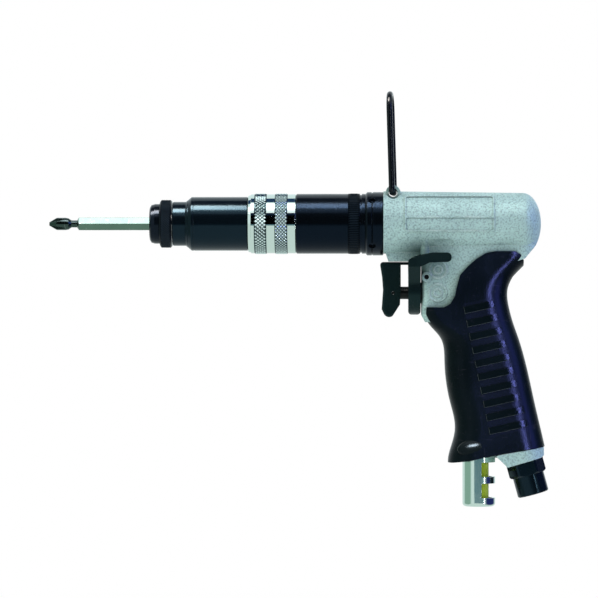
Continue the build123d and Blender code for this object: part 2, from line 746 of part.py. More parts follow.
TRIGGER_OUTLINE = [
    (-1.9, -19.45), (-0.7, -27.0), (-0.2, -33.5), (-0.9, -43.4), (1.6, -48.6), (4.6, -46.9),
    (8.4, -41.0), (8.8, -33.0), (8.8, -19.45),
]

LEVER_EAR = [
    (4.0, -27.2), (10.2, -31.0), (ARM_OUT, -22.0), (ARM_OUT, ARM_TOP), (ARM_IN, ARM_TOP), (14.4, -19.0),
    (9.5, -23.5),
]

LEVER_ARM = [
    (15.8, -16.6), (22.0, -15.3), (24.4, -14.8), (34.3, -14.8), (34.3, -19.5), (32.0, -19.6),
    (23.2, -19.9), (19.6, -21.6), (15.8, -22.0),
]
ARM_END_R = 2.2


def barrel():
    dome = [
        (BARREL_LENGTH + DOME_LENGTH * math.sin(math.radians(a)),
         BARREL_REAR_R * math.cos(math.radians(a))) for a in range(0, 91, 10)
    ]
    return turned([(0, 0), (0, BARREL_FRONT_R)] + dome[:-1] + [(REAR_END, 0)])


def name_panel():
    """The raised cast frame of the bare name panel, on the left flank, with a bar across it."""
    x0, x1 = PANEL_X
    z0, z1 = PANEL_Z
    middle = Pos((x0 + x1) / 2, (z0 + z1) / 2)
    frame = middle * RectangleRounded(x1 - x0, z1 - z0, PANEL_CORNER)
    for low, high in ((z0, PANEL_BAR_Z), (PANEL_BAR_Z - PANEL_LINE, z1)):
        height = high - low - 2 * PANEL_LINE
        frame -= Pos((x0 + x1) / 2, (low + high) / 2) * RectangleRounded(
            x1 - x0 - 2 * PANEL_LINE, height, PANEL_CORNER - PANEL_LINE)
    reach = extrude(Plane.XZ * frame, 2 * BARREL_FRONT_R)
    raised = turned([(0, 0), (0, BARREL_FRONT_R + PANEL_RISE),
                     (BARREL_LENGTH, BARREL_REAR_R + PANEL_RISE), (BARREL_LENGTH, 0)])
    return raised & reach


def handle_ridge(sign):
    """The rounded ridge that runs up one front corner of the handle into the barrel."""
    x = HANDLE_FACE + RIDGE_R - 0.5
    points = [(x, sign * y, z) for y, z in RIDGE_LINE]
    ridge = rod(points[0], points[1], RIDGE_R) + rod(points[1], points[2], RIDGE_R)
    for point in points[:2]:
        ridge += Pos(*point) * Sphere(RIDGE_R)
    return ridge


def lever_scoop(sign):
    """The hollow that gives one lever arm its room."""
    x0, x1 = SCOOP_X
    bar = ring(x0 - SCOOP_R, x1 - x0 + 2 * SCOOP_R, SCOOP_R, 0, sign * SCOOP_Y, SCOOP_Z)
    return fillet(bar.edges().filter_by(GeomType.CIRCLE), SCOOP_R * 0.9)


def round_marks():
    """Two plain cast rings, each with a smaller one in it, on the neck's left side."""
    marks = []
    for x, z in MARKS:
        for radius in (MARK_R, MARK_R * 0.5):
            outline = Pos(x, z) * (Circle(radius) - Circle(radius - MARK_LINE))
            marks.append(extrude(Plane.XZ * outline, NECK_HALF + MARK_RISE) -
                         extrude(Plane.XZ * outline, NECK_HALF - MARK_RISE))
    return marks


def plan_limit(half):
    """Plan outline of the handle, with round front corners and a rounder rear."""
    front = HANDLE_FACE
    rear = REAR_END - 0.4
    outline = make_face(Polyline((front, -half), (rear, -half), (rear, half), (front, half), close=True))
    corners = outline.vertices().sort_by(Axis.X)
    face = fillet(corners[:2], NECK_FRONT_RADIUS)
    rear_corners = face.vertices().sort_by(Axis.X)[-2:]
    face = fillet(rear_corners, NECK_REAR_RADIUS)
    return extrude(Pos(0, 0, -130) * face, 135)


def handle_core():
    """The cast neck with the narrower stem that the rubber covers."""
    neck = side(NECK_OUTLINE, NECK_HALF) & plan_limit(NECK_HALF)
    return neck + side(STEM_OUTLINE, CORE_HALF) + side(ROOT_OUTLINE, FOOT_HALF)


def grip_surface(grow=0.0):
    """The grip's outer surface, lofted through rounded level sections."""
    faces = []
    for z, front, rear, half, corner in GRIP_SECTIONS:
        x0, x1, y = front - grow, rear + grow, half + grow
        section = make_face(Polyline((x0, -y), (x1, -y), (x1, y), (x0, y), close=True))
        section = fillet(section.vertices().sort_by(Axis.X)[:2], corner)
        section = fillet(section.vertices().sort_by(Axis.X)[-2:], GRIP_REAR_CORNER)
        faces.append(Pos(0, 0, z) * section)
    return loft(faces)


def grip_bars():
    """Raised bars across both sides of the grip, inside their slanted field."""
    field = make_face(Polyline(*BAR_FIELD, close=True))
    bars = []
    for index in range(BARS):
        down = index * BAR_PITCH
        x = BAR_TOP[0] + down * math.sin(math.radians(BAR_TILT))
        z = BAR_TOP[1] - down * math.cos(math.radians(BAR_TILT))
        bars.append(Pos(x, z) * Rot(0, 0, BAR_TILT) * Rectangle(BAR_LENGTH, BAR_WIDTH))
    outline = field & Sketch() + bars
    reach = GRIP_SECTIONS[-1][3] + 2 * BAR_RISE
    slabs = extrude(Plane.XZ * outline, reach, both=True) - extrude(Plane.XZ * outline, BAR_ROOT, both=True)
    return grip_surface(BAR_RISE) & slabs


def lug():
    head = rod((LUG_X, -LUG_HALF, LUG_Z), (LUG_X, LUG_HALF, LUG_Z), LUG_R)
    web = side([
        (0.2, 12.0), (0.2, 14.0), (LUG_X - LUG_R * 0.75, LUG_Z + LUG_R * 0.66),
        (LUG_X + LUG_R * 0.65, LUG_Z + LUG_R * 0.76), (10.4, 13.6), (10.4, 12.0),
    ], LUG_HALF)
    return head + web


def inlet_line(distance):
    """A point on the inlet's axis, measured down from the top of its hexagon."""
    angle = math.radians(INLET_TILT)
    return INLET_X + distance * math.sin(angle), 0, INLET_Z - distance * math.cos(angle)


def housing():
    body = barrel() + name_panel()
    body -= side([(-1, UNDERSIDE_Z), (HANDLE_FACE, UNDERSIDE_Z), (HANDLE_FACE, -20), (-1, -20)], 20)
    body += handle_core()
    body += side([(LEDGE_X[0], UNDERSIDE_Z + 1), (LEDGE_X[0], UNDERSIDE_Z), (LEDGE_X[1], LEDGE_Z),
                  (HANDLE_FACE + 2, LEDGE_Z), (HANDLE_FACE + 2, UNDERSIDE_Z + 1)], LEDGE_HALF)
    body += grip_surface(-0.2) & side(FOOT_OUTLINE, 20)
    for mark in round_marks():
        body += mark
    for sign in (-1, 1):
        body += handle_ridge(sign)
        body -= lever_scoop(sign)
        body -= rod((LUG_X, sign * LUG_HALF, LUG_Z), (LUG_X, sign * SPOT_HALF, LUG_Z), SPOT_R)
    body += lug()
    body += rod((PIN_X, -BOSS_HALF, PIN_Z), (PIN_X, BOSS_HALF, PIN_Z), BOSS_R)
    bore_end = REAR_PLATE_X + REAR_PLATE - HOUSING_X + SIDE_GAP
    body -= ring(0, bore_end, PLATE_R + FIT_GAP)
    body -= ring(0, GEAR_SPIGOT + END_GAP, GEAR_NECK_R + FIT_GAP)
    body -= ring(HANDLE_FACE - 5, VALVE_BUSHING_END - HANDLE_FACE + 5, VALVE_R + FIT_GAP, 0, 0, VALVE_Z)
    body -= ring(VALVE_BUSHING_END, VALVE_CHAMBER_END - VALVE_BUSHING_END, VALVE_CHAMBER_R, 0, 0, VALVE_Z)
    body -= rod((PIN_X, -20, PIN_Z), (PIN_X, 20, PIN_Z), PIN_CROSS_R + FIT_GAP)
    body -= rod((LUG_X, -20, LUG_Z), (LUG_X, 20, LUG_Z), LUG_HOLE_R)
    body -= rod(inlet_line(0), inlet_line(-88), PASSAGE_R)
    body -= rod(inlet_line(6), inlet_line(-INLET_SPIGOT - END_GAP), INLET_SPIGOT_R + FIT_GAP)
    body -= rod((PORT_X, 0, VALVE_Z - VALVE_R), (SILENCER_X + 0.8, 0, SILENCER_TOP + 1), EXHAUST_R)
    body -= rod((SILENCER_X, 0, SILENCER_TOP + END_GAP), (SILENCER_X, 0, -126), SILENCER_R + FIT_GAP)
    foot_plane = Plane(origin=inlet_line(0), z_dir=Vector(*inlet_line(1)) - Vector(*inlet_line(0)))
    body -= extrude(foot_plane * Circle(FOOT_CLEAR_R), 6)
    return PISTOL * body


def grip_sleeve():
    skin = (grip_surface() & side(GRIP_EDGE, 20)) + grip_bars()
    skin -= handle_core()
    skin -= barrel()
    skin -= rod((SILENCER_X, 0, SILENCER_TOP), (SILENCER_X, 0, -130), SILENCER_R + 0.2)
    skin -= rod(inlet_line(-3), inlet_line(9), 10.5)
    return PISTOL * skin


# Hanger bail

def hanger():
    """A bent wire bail, a little twisted and leaning forward, with its feet in the lug."""
    top = BAIL_TOP - WIRE_R
    foot = LUG_HALF - BAIL_FOOT_IN
    path = FilletPolyline(
        (0, -foot, 0), (0, -BAIL_HALF, 0), (0, -BAIL_HALF, top - LUG_Z),
        (0, BAIL_HALF, top - LUG_Z), (0, BAIL_HALF, 0), (0, foot, 0),
        radius=[BAIL_FOOT_BEND, BAIL_TOP_BEND, BAIL_TOP_BEND, BAIL_FOOT_BEND])
    bail = sweep(Plane(origin=path @ 0, z_dir=path % 0) * Circle(WIRE_R), path=path)
    return PISTOL * Pos(LUG_X, 0, LUG_Z) * Rot(0, -BAIL_LEAN, BAIL_TWIST) * bail


# Trigger, throttle valve and reverse lever

def trigger():
    face = make_face(Polyline(*TRIGGER_OUTLINE, close=True))
    tip = face.vertices().sort_by(Axis.Y)[0]
    face = fillet(tip, TRIGGER_TIP_R)
    crest = face.vertices().sort_by(Axis.X)[0]
    face = fillet(crest, TRIGGER_CREST_R)
    blade = extrude(Plane.XZ * face, TRIGGER_HALF, both=True)
    front = [edge for edge in blade.edges().filter_by(Plane.XZ) if edge.center().X < TRIGGER_EDGE]
    blade = fillet(front, TRIGGER_EDGE)
    x0, x1, z1, z0 = TONGUE
    blade += side([(x0, z1), (x1, z1), (x1, z0), (x0, z0)], TONGUE_HALF)
    blade -= ring(STEM_START, 12, STEM_R + FIT_GAP, 0, 0, VALVE_Z)
    blade -= trigger_pin_bar(TRIGGER_HALF + 1, TRIGGER_PIN_R + FIT_GAP)
    return PISTOL * blade


def trigger_pin_bar(half, radius):
    return rod((TRIGGER_PIN_X, -half, VALVE_Z), (TRIGGER_PIN_X, half, VALVE_Z), radius)


def throttle_stem():
    end = VALVE_BUSHING_END + 0.05
    body = ring(STEM_START + 0.05, end - STEM_START - 0.05, STEM_R, 0, 0, VALVE_Z)
    body -= ring(STEM_WAIST[0], STEM_WAIST[1] - STEM_WAIST[0], STEM_R, STEM_WAIST_R, 0, VALVE_Z)
    body -= trigger_pin_bar(TRIGGER_HALF, TRIGGER_PIN_R + FIT_GAP)
    return PISTOL * body


def trigger_pin():
    return PISTOL * trigger_pin_bar(TRIGGER_HALF - 0.2, TRIGGER_PIN_R)


def throttle_valve():
    return PISTOL * ring(VALVE_BUSHING_END + 0.1, HEAD_THICK, HEAD_R, 0, 0, VALVE_Z)


def throttle_spring():
    start = VALVE_BUSHING_END + 0.1 + HEAD_THICK + END_GAP
    return PISTOL * coil(start, VALVE_CHAMBER_END - END_GAP - start, 3.6, VALVE_WIRE, 3, 0, VALVE_Z)


def valve_bushing():
    start = HANDLE_FACE + 0.3
    body = ring(start, VALVE_BUSHING_END - start, VALVE_R, REVERSE_R + RUN_GAP, 0, VALVE_Z)
    body -= ring(PIN_X - 1.3, 2.6, VALVE_R, VALVE_R - 0.5, 0, VALVE_Z)
    for x in seal_places():
        body -= ring(x - SEAL_WIRE_R - 0.1, 2 * SEAL_WIRE_R + 0.2, VALVE_R, VALVE_R - 1.15, 0, VALVE_Z)
    body -= rod((PORT_X, 0, VALVE_Z), (PORT_X, 0, VALVE_Z - 12), PORT_R)
    return PISTOL * body


def seal_places():
    return (PIN_X + 5, VALVE_BUSHING_END - 3)


def valve_seals():
    rings = []
    for x in seal_places():
        rings.append(Pos(x, 0, VALVE_Z) * Rot(0, 90, 0) * Torus(VALVE_R - 0.58, SEAL_WIRE_R))
    return PISTOL * Compound(rings)


def reverse_valve():
    start = LEVER_X[0]
    body = ring(start, VALVE_BUSHING_END - 0.1 - start, REVERSE_R, STEM_R + RUN_GAP, 0, VALVE_Z)
    body -= rod((PORT_X, 0, VALVE_Z), (PORT_X, 0, VALVE_Z - 12), PORT_INNER_R)
    return PISTOL * body


def reverse_lever():
    x0, x1 = LEVER_X
    hub = Pos(0, VALVE_Z) * Circle(LEVER_HUB_R)
    ears = make_face(Polyline(*LEVER_EAR, close=True))
    outline = hub + ears + mirror(ears, Plane.YZ)
    edge = make_face(Polyline(
        (x0, -18.6), (x0 + 1.9, -17.2), (x1 - 0.8, -15.9), (x1, -15.7), (x1, PLATE_BOTTOM),
        (x0, PLATE_BOTTOM), close=True))
    edge = fillet(edge.vertices().sort_by(Axis.Y)[:2], PLATE_CORNER)
    plate = cross(x0, x1 - x0, outline) & extrude(Plane.XZ * edge, 20, both=True)
    arm = make_face(Polyline(*LEVER_ARM, close=True))
    arm = fillet(arm.vertices().sort_by(Axis.X)[-2:], ARM_END_R)
    bars = extrude(Plane.XZ * arm, ARM_OUT, both=True) - extrude(Plane.XZ * arm, ARM_IN, both=True)
    body = plate + bars
    body -= ring(x0 - 1, x1 - x0 + 2, REVERSE_R + 0.01, 0, 0, VALVE_Z)
    return PISTOL * body


def lever_retaining_pin():
    return PISTOL * rod((PIN_X, -BOSS_HALF + 0.4, PIN_Z), (PIN_X, BOSS_HALF - 0.4, PIN_Z), PIN_CROSS_R)


# Silencer and air inlet

def exhaust_silencer():
    inner = SILENCER_R - SILENCER_WALL
    height = SILENCER_TOP - SILENCER_BOTTOM
    outer = Cylinder(SILENCER_R, height, align=(Align.CENTER, Align.CENTER, Align.MIN))
    outer = fillet(outer.edges().group_by(Axis.Z)[0], SILENCER_EDGE)
    bore = Pos(0, 0, SILENCER_FLOOR) * Cylinder(inner, height, align=(Align.CENTER, Align.CENTER, Align.MIN))
    body = Pos(SILENCER_X, 0, SILENCER_BOTTOM) * (outer - bore)
    half = math.radians(SLOT_ANGLE / 2)
    reach = 2 * SILENCER_R
    corners = [(0, 0)]
    for i in range(5):
        a = -half + 2 * half * i / 4
        corners.append((reach * math.cos(a), reach * math.sin(a)))
    wedge = make_face(Polyline(*corners, close=True))
    for low, high in SLOTS:
        body -= Pos(SILENCER_X, 0, low) * extrude(wedge, high - low)
    return PISTOL * body


def silencer_felt():
    low = SILENCER_BOTTOM + SILENCER_FLOOR + END_GAP
    return PISTOL * Pos(SILENCER_X, 0, low) * Cylinder(
        FELT_R, SILENCER_TOP - 1 - low, align=(Align.CENTER, Align.CENTER, Align.MIN))


def on_inlet(body, distance):
    """Stands a body on the inlet's axis, its own Z pointing down the axis."""
    start = Vector(*inlet_line(distance))
    plane = Plane(origin=start, x_dir=(0, 1, 0), z_dir=Vector(*inlet_line(distance + 1)) - start)
    return PISTOL * plane.location * body


def inlet_bushing():
    bottom = (Align.CENTER, Align.CENTER, Align.MIN)
    top = (Align.CENTER, Align.CENTER, Align.MAX)
    body = extrude(RegularPolygon(INLET_HEX / math.sqrt(3), 6), INLET_HEX_LENGTH)
    limit = Cylinder(INLET_HEX / math.sqrt(3) - 0.35, INLET_HEX_LENGTH, align=bottom)
    body &= limit
    body += Pos(0, 0, INLET_HEX_LENGTH) * Cylinder(INLET_R, INLET_LENGTH, align=bottom)
    body += Cylinder(INLET_SPIGOT_R, INLET_SPIGOT, align=top)
    total = INLET_HEX_LENGTH + INLET_LENGTH
    body -= Pos(0, 0, total) * Cylinder(INLET_BORE_R, INLET_BORE, align=top)
    body -= Pos(0, 0, total - INLET_BORE) * Cylinder(STRAINER_R + FIT_GAP, STRAINER_SEAT, align=top)
    body -= Pos(0, 0, -INLET_SPIGOT) * Cylinder(PASSAGE_R, INLET_SPIGOT + total, align=bottom)
    return on_inlet(body, 0)


def inlet_strainer():
    bottom = (Align.CENTER, Align.CENTER, Align.MIN)
    top = (Align.CENTER, Align.CENTER, Align.MAX)
    seat = INLET_HEX_LENGTH + INLET_LENGTH - INLET_BORE - STRAINER_SEAT
    inner = PASSAGE_R - 0.3 - STRAINER_WALL
    body = Cylinder(STRAINER_R, STRAINER_RIM, align=bottom)
    body += Cylinder(PASSAGE_R - 0.3, STRAINER_CUP, align=top)
    body -= Pos(0, 0, STRAINER_RIM) * Cylinder(inner, STRAINER_RIM + STRAINER_CUP - STRAINER_WALL, align=top)
    return on_inlet(body, seat + END_GAP)


def build():
    spindle_seat = NOSE_X + NOSE_LENGTH + NOSE_SPIGOT + END_GAP
    spindle_races = bearing(spindle_seat, SPINDLE_BEARING)
    output_races = bearing(OUTPUT_BEARING_X, OUTPUT_BEARING)
    front_races = bearing(FRONT_BEARING_X, ROTOR_BEARING)
    rear_races = bearing(REAR_BEARING_X, ROTOR_BEARING)
    parts = {
        "screwdriver_bit": screwdriver_bit(),
        "bit_lock_balls": bit_lock_balls(),
        "spindle": spindle(),
        "sleeve_stop_ring": sleeve_stop_ring(),
        "bit_sleeve": bit_sleeve(),
        "sleeve_spring": sleeve_spring(),
        "spindle_bearing_outer": spindle_races[0],
        "spindle_bearing_balls": spindle_races[1],
        "spindle_bearing_inner": spindle_races[2],
        "clutch_balls": clutch_balls(),
        "clutch_disc": clutch_disc(),
        "clutch_spring": clutch_spring(),
        "adjusting_nut": adjusting_nut(),
        "nose_bushing": nose_bushing(),
        "clutch_case": clutch_case(),
        "cover_ring": cover_ring(),
        "output_bearing_outer": output_races[0],
        "output_bearing_balls": output_races[1],
        "output_bearing_inner": output_races[2],
        "output_carrier": output_carrier(),
        "output_planet_pins": planet_pins(CARRIER_2_X, PLANET_2_X + PLANET_2_WIDTH - CARRIER_2_X),
        "first_stage_carrier": first_stage_carrier(),
        "first_planet_pins": planet_pins(CARRIER_1_X, PLANET_1_X + PLANET_1_WIDTH - CARRIER_1_X),
        "ring_gear": ring_gear(),
        "gear_case": gear_case(),
        "clamp_ring": clamp_ring(),
        "front_end_plate": front_end_plate(),
        "rotor_front_bearing_outer": front_races[0],
        "rotor_front_bearing_balls": front_races[1],
        "rotor_front_bearing_inner": front_races[2],
        "motor_cylinder": motor_cylinder(),
        "rotor": rotor(),
        "rotor_vanes": rotor_vanes(),
        "rear_end_plate": rear_end_plate(),
        "rotor_rear_bearing_outer": rear_races[0],
        "rotor_rear_bearing_balls": rear_races[1],
        "rotor_rear_bearing_inner": rear_races[2],
        "housing": housing(),
        "grip_sleeve": grip_sleeve(),
        "hanger": hanger(),
        "trigger": trigger(),
        "throttle_stem": throttle_stem(),
        "trigger_pin": trigger_pin(),
        "throttle_valve": throttle_valve(),
        "throttle_spring": throttle_spring(),
        "valve_bushing": valve_bushing(),
        "valve_seals": valve_seals(),
        "reverse_valve": reverse_valve(),
        "reverse_lever": reverse_lever(),
        "lever_retaining_pin": lever_retaining_pin(),
        "exhaust_silencer": exhaust_silencer(),
        "silencer_felt": silencer_felt(),
        "inlet_bushing": inlet_bushing(),
        "inlet_strainer": inlet_strainer(),
    }
    for index, letter in enumerate("abc"):
        parts["first_planet_" + letter] = planet(PLANET_1_X, PLANET_1_WIDTH, index)
        parts["output_planet_" + letter] = planet(PLANET_2_X, PLANET_2_WIDTH, index)
    os.makedirs("parts", exist_ok=True)
    for name, solid in parts.items():
        export_step(solid, "parts/" + name + ".step")


build()
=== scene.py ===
"""Looks of a pneumatic pistol-grip torque screwdriver: finishes, fine detail, camera and light.

The tool hangs with its bit towards -X and its handle towards -Z. Lengths are in metres.
"""

import logging
import math
from dataclasses import dataclass
from enum import Enum
from typing import ClassVar

import bmesh
import bpy
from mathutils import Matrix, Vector


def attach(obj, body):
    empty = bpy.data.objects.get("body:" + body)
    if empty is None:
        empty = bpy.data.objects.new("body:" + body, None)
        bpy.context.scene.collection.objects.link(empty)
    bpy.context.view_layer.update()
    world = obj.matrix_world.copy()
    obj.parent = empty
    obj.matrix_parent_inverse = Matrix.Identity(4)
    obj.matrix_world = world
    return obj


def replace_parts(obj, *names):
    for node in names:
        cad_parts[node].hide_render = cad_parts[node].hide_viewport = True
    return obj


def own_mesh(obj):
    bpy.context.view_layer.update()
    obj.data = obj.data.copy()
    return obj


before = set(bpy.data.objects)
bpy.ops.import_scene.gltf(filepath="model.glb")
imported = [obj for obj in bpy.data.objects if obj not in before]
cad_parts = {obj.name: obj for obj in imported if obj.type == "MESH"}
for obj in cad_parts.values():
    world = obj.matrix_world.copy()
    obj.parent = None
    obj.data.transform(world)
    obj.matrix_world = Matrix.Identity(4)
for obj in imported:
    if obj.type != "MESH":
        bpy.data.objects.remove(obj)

LOG = logging.getLogger("torque_screwdriver")
MM = 0.001

Rgb = tuple[float, float, float]
Piece = bpy.types.Object
Material = bpy.types.Material
Outputs = bpy.types.NodeOutputs
Inputs = bpy.types.NodeInputs
Tree = bpy.types.NodeTree
Source = bpy.types.NodeSocket | float | tuple

WHITE: Rgb = (1.0, 1.0, 1.0)
WIRE_SMOOTHING = math.radians(40)
FITTING_SMOOTHING = math.radians(25)


class KnurlPattern(Enum):
    """How a knurled band is cut."""

    DIAMOND = "diamond"
    STRAIGHT = "straight"


class Sheet:
    """Adds nodes to one node tree and joins them."""

    def __init__(self, tree: Tree) -> None:
        """Takes the tree that the nodes go into."""
        self.tree = tree

    def add(self, kind: str, **settings: object) -> bpy.types.Node:
        """Adds a node of a class, with some of its properties set.

        Args:
            kind: The node's class name.
            settings: The properties.

        Returns:
            The node.
        """
        node = self.tree.nodes.new(kind)
        for key, value in settings.items():
            setattr(node, key, value)
        return node

    def feed(self, socket: bpy.types.NodeSocket, source: Source) -> None:
        """Joins a socket to a source, or sets its own value; a colour needs no alpha.

        Args:
            socket: The input socket.
            source: A socket or a value.
        """
        if isinstance(source, bpy.types.NodeSocket):
            self.tree.links.new(source, socket)
        elif socket.type == "RGBA":
            socket.default_value = (*source, 1.0)
        else:
            socket.default_value = source

    def fill(self, sockets: Inputs, **sources: Source) -> None:
        """Feeds sockets by name, with an underscore for a space."""
        for name, source in sources.items():
            self.feed(sockets[name.replace("_", " ")], source)

    def placed(self, kind: str, *sources: Source, **settings: object) -> Outputs:
        """Adds a node and feeds its first inputs.

        Args:
            kind: The node's class name.
            sources: What its inputs get, in their order.
            settings: Properties to set on it.

        Returns:
            The node's outputs.
        """
        node = self.add(kind, **settings)
        for socket, source in zip(node.inputs, sources):
            self.feed(socket, source)
        return node.outputs

    def maths(self, operation: str, first: Source, second: Source = 0.0, clamp: bool = False) -> Source:
        """One arithmetic step, held between 0 and 1 if asked."""
        return self.placed("ShaderNodeMath", first, second, operation=operation, use_clamp=clamp)[0]

    def times(self, first: Source, second: Source, clamp: bool = False) -> Source:
        """A product."""
        return self.maths("MULTIPLY", first, second, clamp)

    def plus(self, first: Source, second: Source, clamp: bool = False) -> Source:
        """A sum."""
        return self.maths("ADD", first, second, clamp)

    def vector(self, operation: str, first: Source, second: Source = (0.0, 0.0, 0.0)) -> Outputs:
        """One step with vectors, which gives a Vector or a Value."""
        return self.placed("ShaderNodeVectorMath", first, second, operation=operation)

    def split(self, vector: Source) -> Outputs:
        """A vector's parts, by axis."""
        return self.placed("ShaderNodeSeparateXYZ", vector)

    def spread(self, value: Source, low: Source, high: Source, to_low: Source = 0.0,
               to_high: Source = 1.0) -> Source:
        """Maps a value from one range to another and holds it there."""
        return self.placed("ShaderNodeMapRange", value, low, high, to_low, to_high, clamp=True)["Result"]

    def blend(self, factor: Source, first: Source, second: Source) -> Source:
        """A colour between two others, by a factor.

        Args:
            factor: 0 for the first and 1 for the second.
            first: A colour.
            second: Another.

        Returns:
            The blended colour.
        """
        node = self.add("ShaderNodeMix", data_type="RGBA")
        for place, source in ((0, factor), (6, first), (7, second)):
            self.feed(node.inputs[place], source)
        return node.outputs[2]

    def mix(self, share: Source, first: Source, second: Source) -> Source:
        """A surface or light between two others, by a share."""
        return self.placed("ShaderNodeMixShader", share, first, second)[0]

    def stretched(self, scale: Rgb = WHITE) -> Source:
        """Object coordinates, scaled by axis.

        Args:
            scale: The factor of each axis.

        Returns:
            The coordinates.
        """
        node = self.add("ShaderNodeMapping", vector_type="POINT")
        self.fill(node.inputs, Vector=self.add("ShaderNodeTexCoord").outputs["Object"], Scale=scale)
        return node.outputs["Vector"]

    def noise(self, place: Source, scale: Source = 1.0, **settings: float) -> Source:
        """A noise's value at a place, with its other inputs by name.

        Args:
            place: The coordinates.
            scale: The noise's scale.
            settings: Its other inputs.

        Returns:
            The value.
        """
        node = self.add("ShaderNodeTexNoise")
        self.fill(node.inputs, Vector=place, Scale=scale, **settings)
        return node.outputs["Fac"]

    def effect(self, group: Tree, **values: float) -> Outputs:
        """Places a shared effect and feeds its inputs.

        Args:
            group: The effect.
            values: Its inputs.

        Returns:
            Its outputs.
        """
        node = self.add("ShaderNodeGroup", node_tree=group)
        self.fill(node.inputs, **values)
        return node.outputs

    def bump(self, height: Source, depth: float, **normal: Source) -> Source:
        """A normal from a height, whose full depth is in metres.

        Args:
            height: The height, from 0 to 1.
            depth: The depth.
            normal: The normal under it.

        Returns:
            The new normal.
        """
        node = self.add("ShaderNodeBump")
        self.fill(node.inputs, Strength=1.0, Distance=depth, Height=height, **normal)
        return node.outputs["Normal"]


def new_material(name: str) -> tuple[Material, Sheet]:
    """A new material with its sheet.

    Args:
        name: The material's name.

    Returns:
        Both.
    """
    material = bpy.data.materials.new(name)
    material.use_nodes = True
    return material, Sheet(material.node_tree)


def new_group(name: str, inputs: tuple[str, ...], outputs: tuple[str, ...]) -> tuple[Sheet, Outputs, Inputs]:
    """Starts a shared effect.

    Args:
        name: The group's name.
        inputs: Names of its number inputs.
        outputs: Names of its outputs; a Normal is a vector and the others are numbers.

    Returns:
        The group's sheet, what it is given and the sockets that it fills.
    """
    tree = bpy.data.node_groups.new(name, "ShaderNodeTree")
    for label in inputs:
        tree.interface.new_socket(label, in_out="INPUT", socket_type="NodeSocketFloat")
    for label in outputs:
        kind = "NodeSocketVector" if label == "Normal" else "NodeSocketFloat"
        tree.interface.new_socket(label, in_out="OUTPUT", socket_type=kind)
    sheet = Sheet(tree)
    given = sheet.add("NodeGroupInput").outputs
    return sheet, given, sheet.add("NodeGroupOutput").inputs


class Effects:
    """The surface effects that several finishes share, each built once."""

    def __init__(self) -> None:
        """Builds every group."""
        self.edge = self._edge()
        self.grain = self._grain()
        self.lathe = self._lathe()
        self.dust = self._dust()
        self.scuff = self._scuff()
        self.valley = self._valley()

    @staticmethod
    def _edge() -> Tree:
        """A rounded normal along sharp edges, with masks of where an edge is worn or faces down.

        Returns:
            The group.
        """
        sheet, given, result = new_group(
            "worn_edge", ("Radius", "Wear", "Patch Scale"), ("Mask", "Under", "Normal"))
        rounded = sheet.placed("ShaderNodeBevel", given["Radius"], samples=4)[0]
        flat = sheet.add("ShaderNodeNewGeometry").outputs["Normal"]
        turn = sheet.maths("SUBTRACT", 1.0, sheet.vector("DOT_PRODUCT", rounded, flat)["Value"])
        edge = sheet.spread(turn, 0.02, 0.16)
        patch = sheet.noise(sheet.stretched(), given["Patch Scale"], Detail=4.0)
        worn = sheet.spread(patch, 0.42, 0.66, 0.0, given["Wear"])
        below = sheet.vector("DOT_PRODUCT", rounded, (-0.6, 0.0, -0.8))["Value"]
        sheet.fill(result, Mask=sheet.times(edge, worn, True),
                   Under=sheet.times(edge, sheet.spread(below, 0.1, 0.4), True), Normal=rounded)
        return sheet.tree

    @staticmethod
    def _grain() -> Tree:
        """Fine grain with slow clouds in it.

        Returns:
            The group.
        """
        sheet, given, result = new_group("fine_grain", ("Grain Scale", "Cloud Scale"), ("Grain", "Cloud"))
        place = sheet.stretched()
        for label, detail in (("Grain", 3.0), ("Cloud", 5.0)):
            value = sheet.noise(place, given[label + " Scale"], Detail=detail)
            sheet.feed(result[label], sheet.spread(value, 0.3, 0.7))
        return sheet.tree

    @staticmethod
    def _lathe() -> Tree:
        """Fine rings left by a turning tool about the X axis.

        Returns:
            The group.
        """
        sheet, given, result = new_group("turning_rings", ("Pitch Scale",), ("Rings",))
        rings = sheet.noise(sheet.stretched((1.0, 0.012, 0.012)), given["Pitch Scale"],
                            Detail=6.0, Roughness=0.75)
        sheet.fill(result, Rings=sheet.spread(rings, 0.25, 0.75))
        return sheet.tree

    @staticmethod
    def _dust() -> Tree:
        """A thin film on faces that look up.

        Returns:
            The group.
        """
        sheet, given, result = new_group("dust_film", ("Amount",), ("Mask",))
        normal = sheet.add("ShaderNodeNewGeometry").outputs["Normal"]
        up = sheet.spread(sheet.split(normal)["Z"], 0.2, 1.0, 0.0, given["Amount"])
        cloud = sheet.noise(sheet.stretched(), 160.0, Detail=6.0)
        sheet.fill(result, Mask=sheet.times(up, sheet.spread(cloud, 0.35, 0.75, 0.2), True))
        return sheet.tree

    @staticmethod
    def _scuff() -> Tree:
        """Short fine scratches, as handling leaves them.

        Returns:
            The group.
        """
        sheet, given, result = new_group("handling_scuffs", ("Amount",), ("Mask",))
        lines = [sheet.spread(sheet.noise(sheet.stretched(scale), Distortion=0.6), 0.68, 0.74, 0.0,
                              given["Amount"])
                 for scale in ((260.0, 30.0, 900.0), (900.0, 60.0, 210.0))]
        sheet.fill(result, Mask=sheet.maths("MAXIMUM", *lines))
        return sheet.tree

    @staticmethod
    def _valley() -> Tree:
        """The grooves of a knurl, told by their distance from the barrel's axis, which the finishes darken
        partly as dirt and partly as painted shade.

        Returns:
            The group.
        """
        sheet, given, result = new_group("knurl_valleys", ("Low", "High"), ("Mask",))
        parts = sheet.split(sheet.stretched())
        radius = sheet.maths("SQRT", sheet.plus(*(sheet.times(parts[axis], parts[axis]) for axis in "YZ")))
        sheet.fill(result, Mask=sheet.spread(radius, given["Low"], given["High"], 1.0, 0.0))
        return sheet.tree


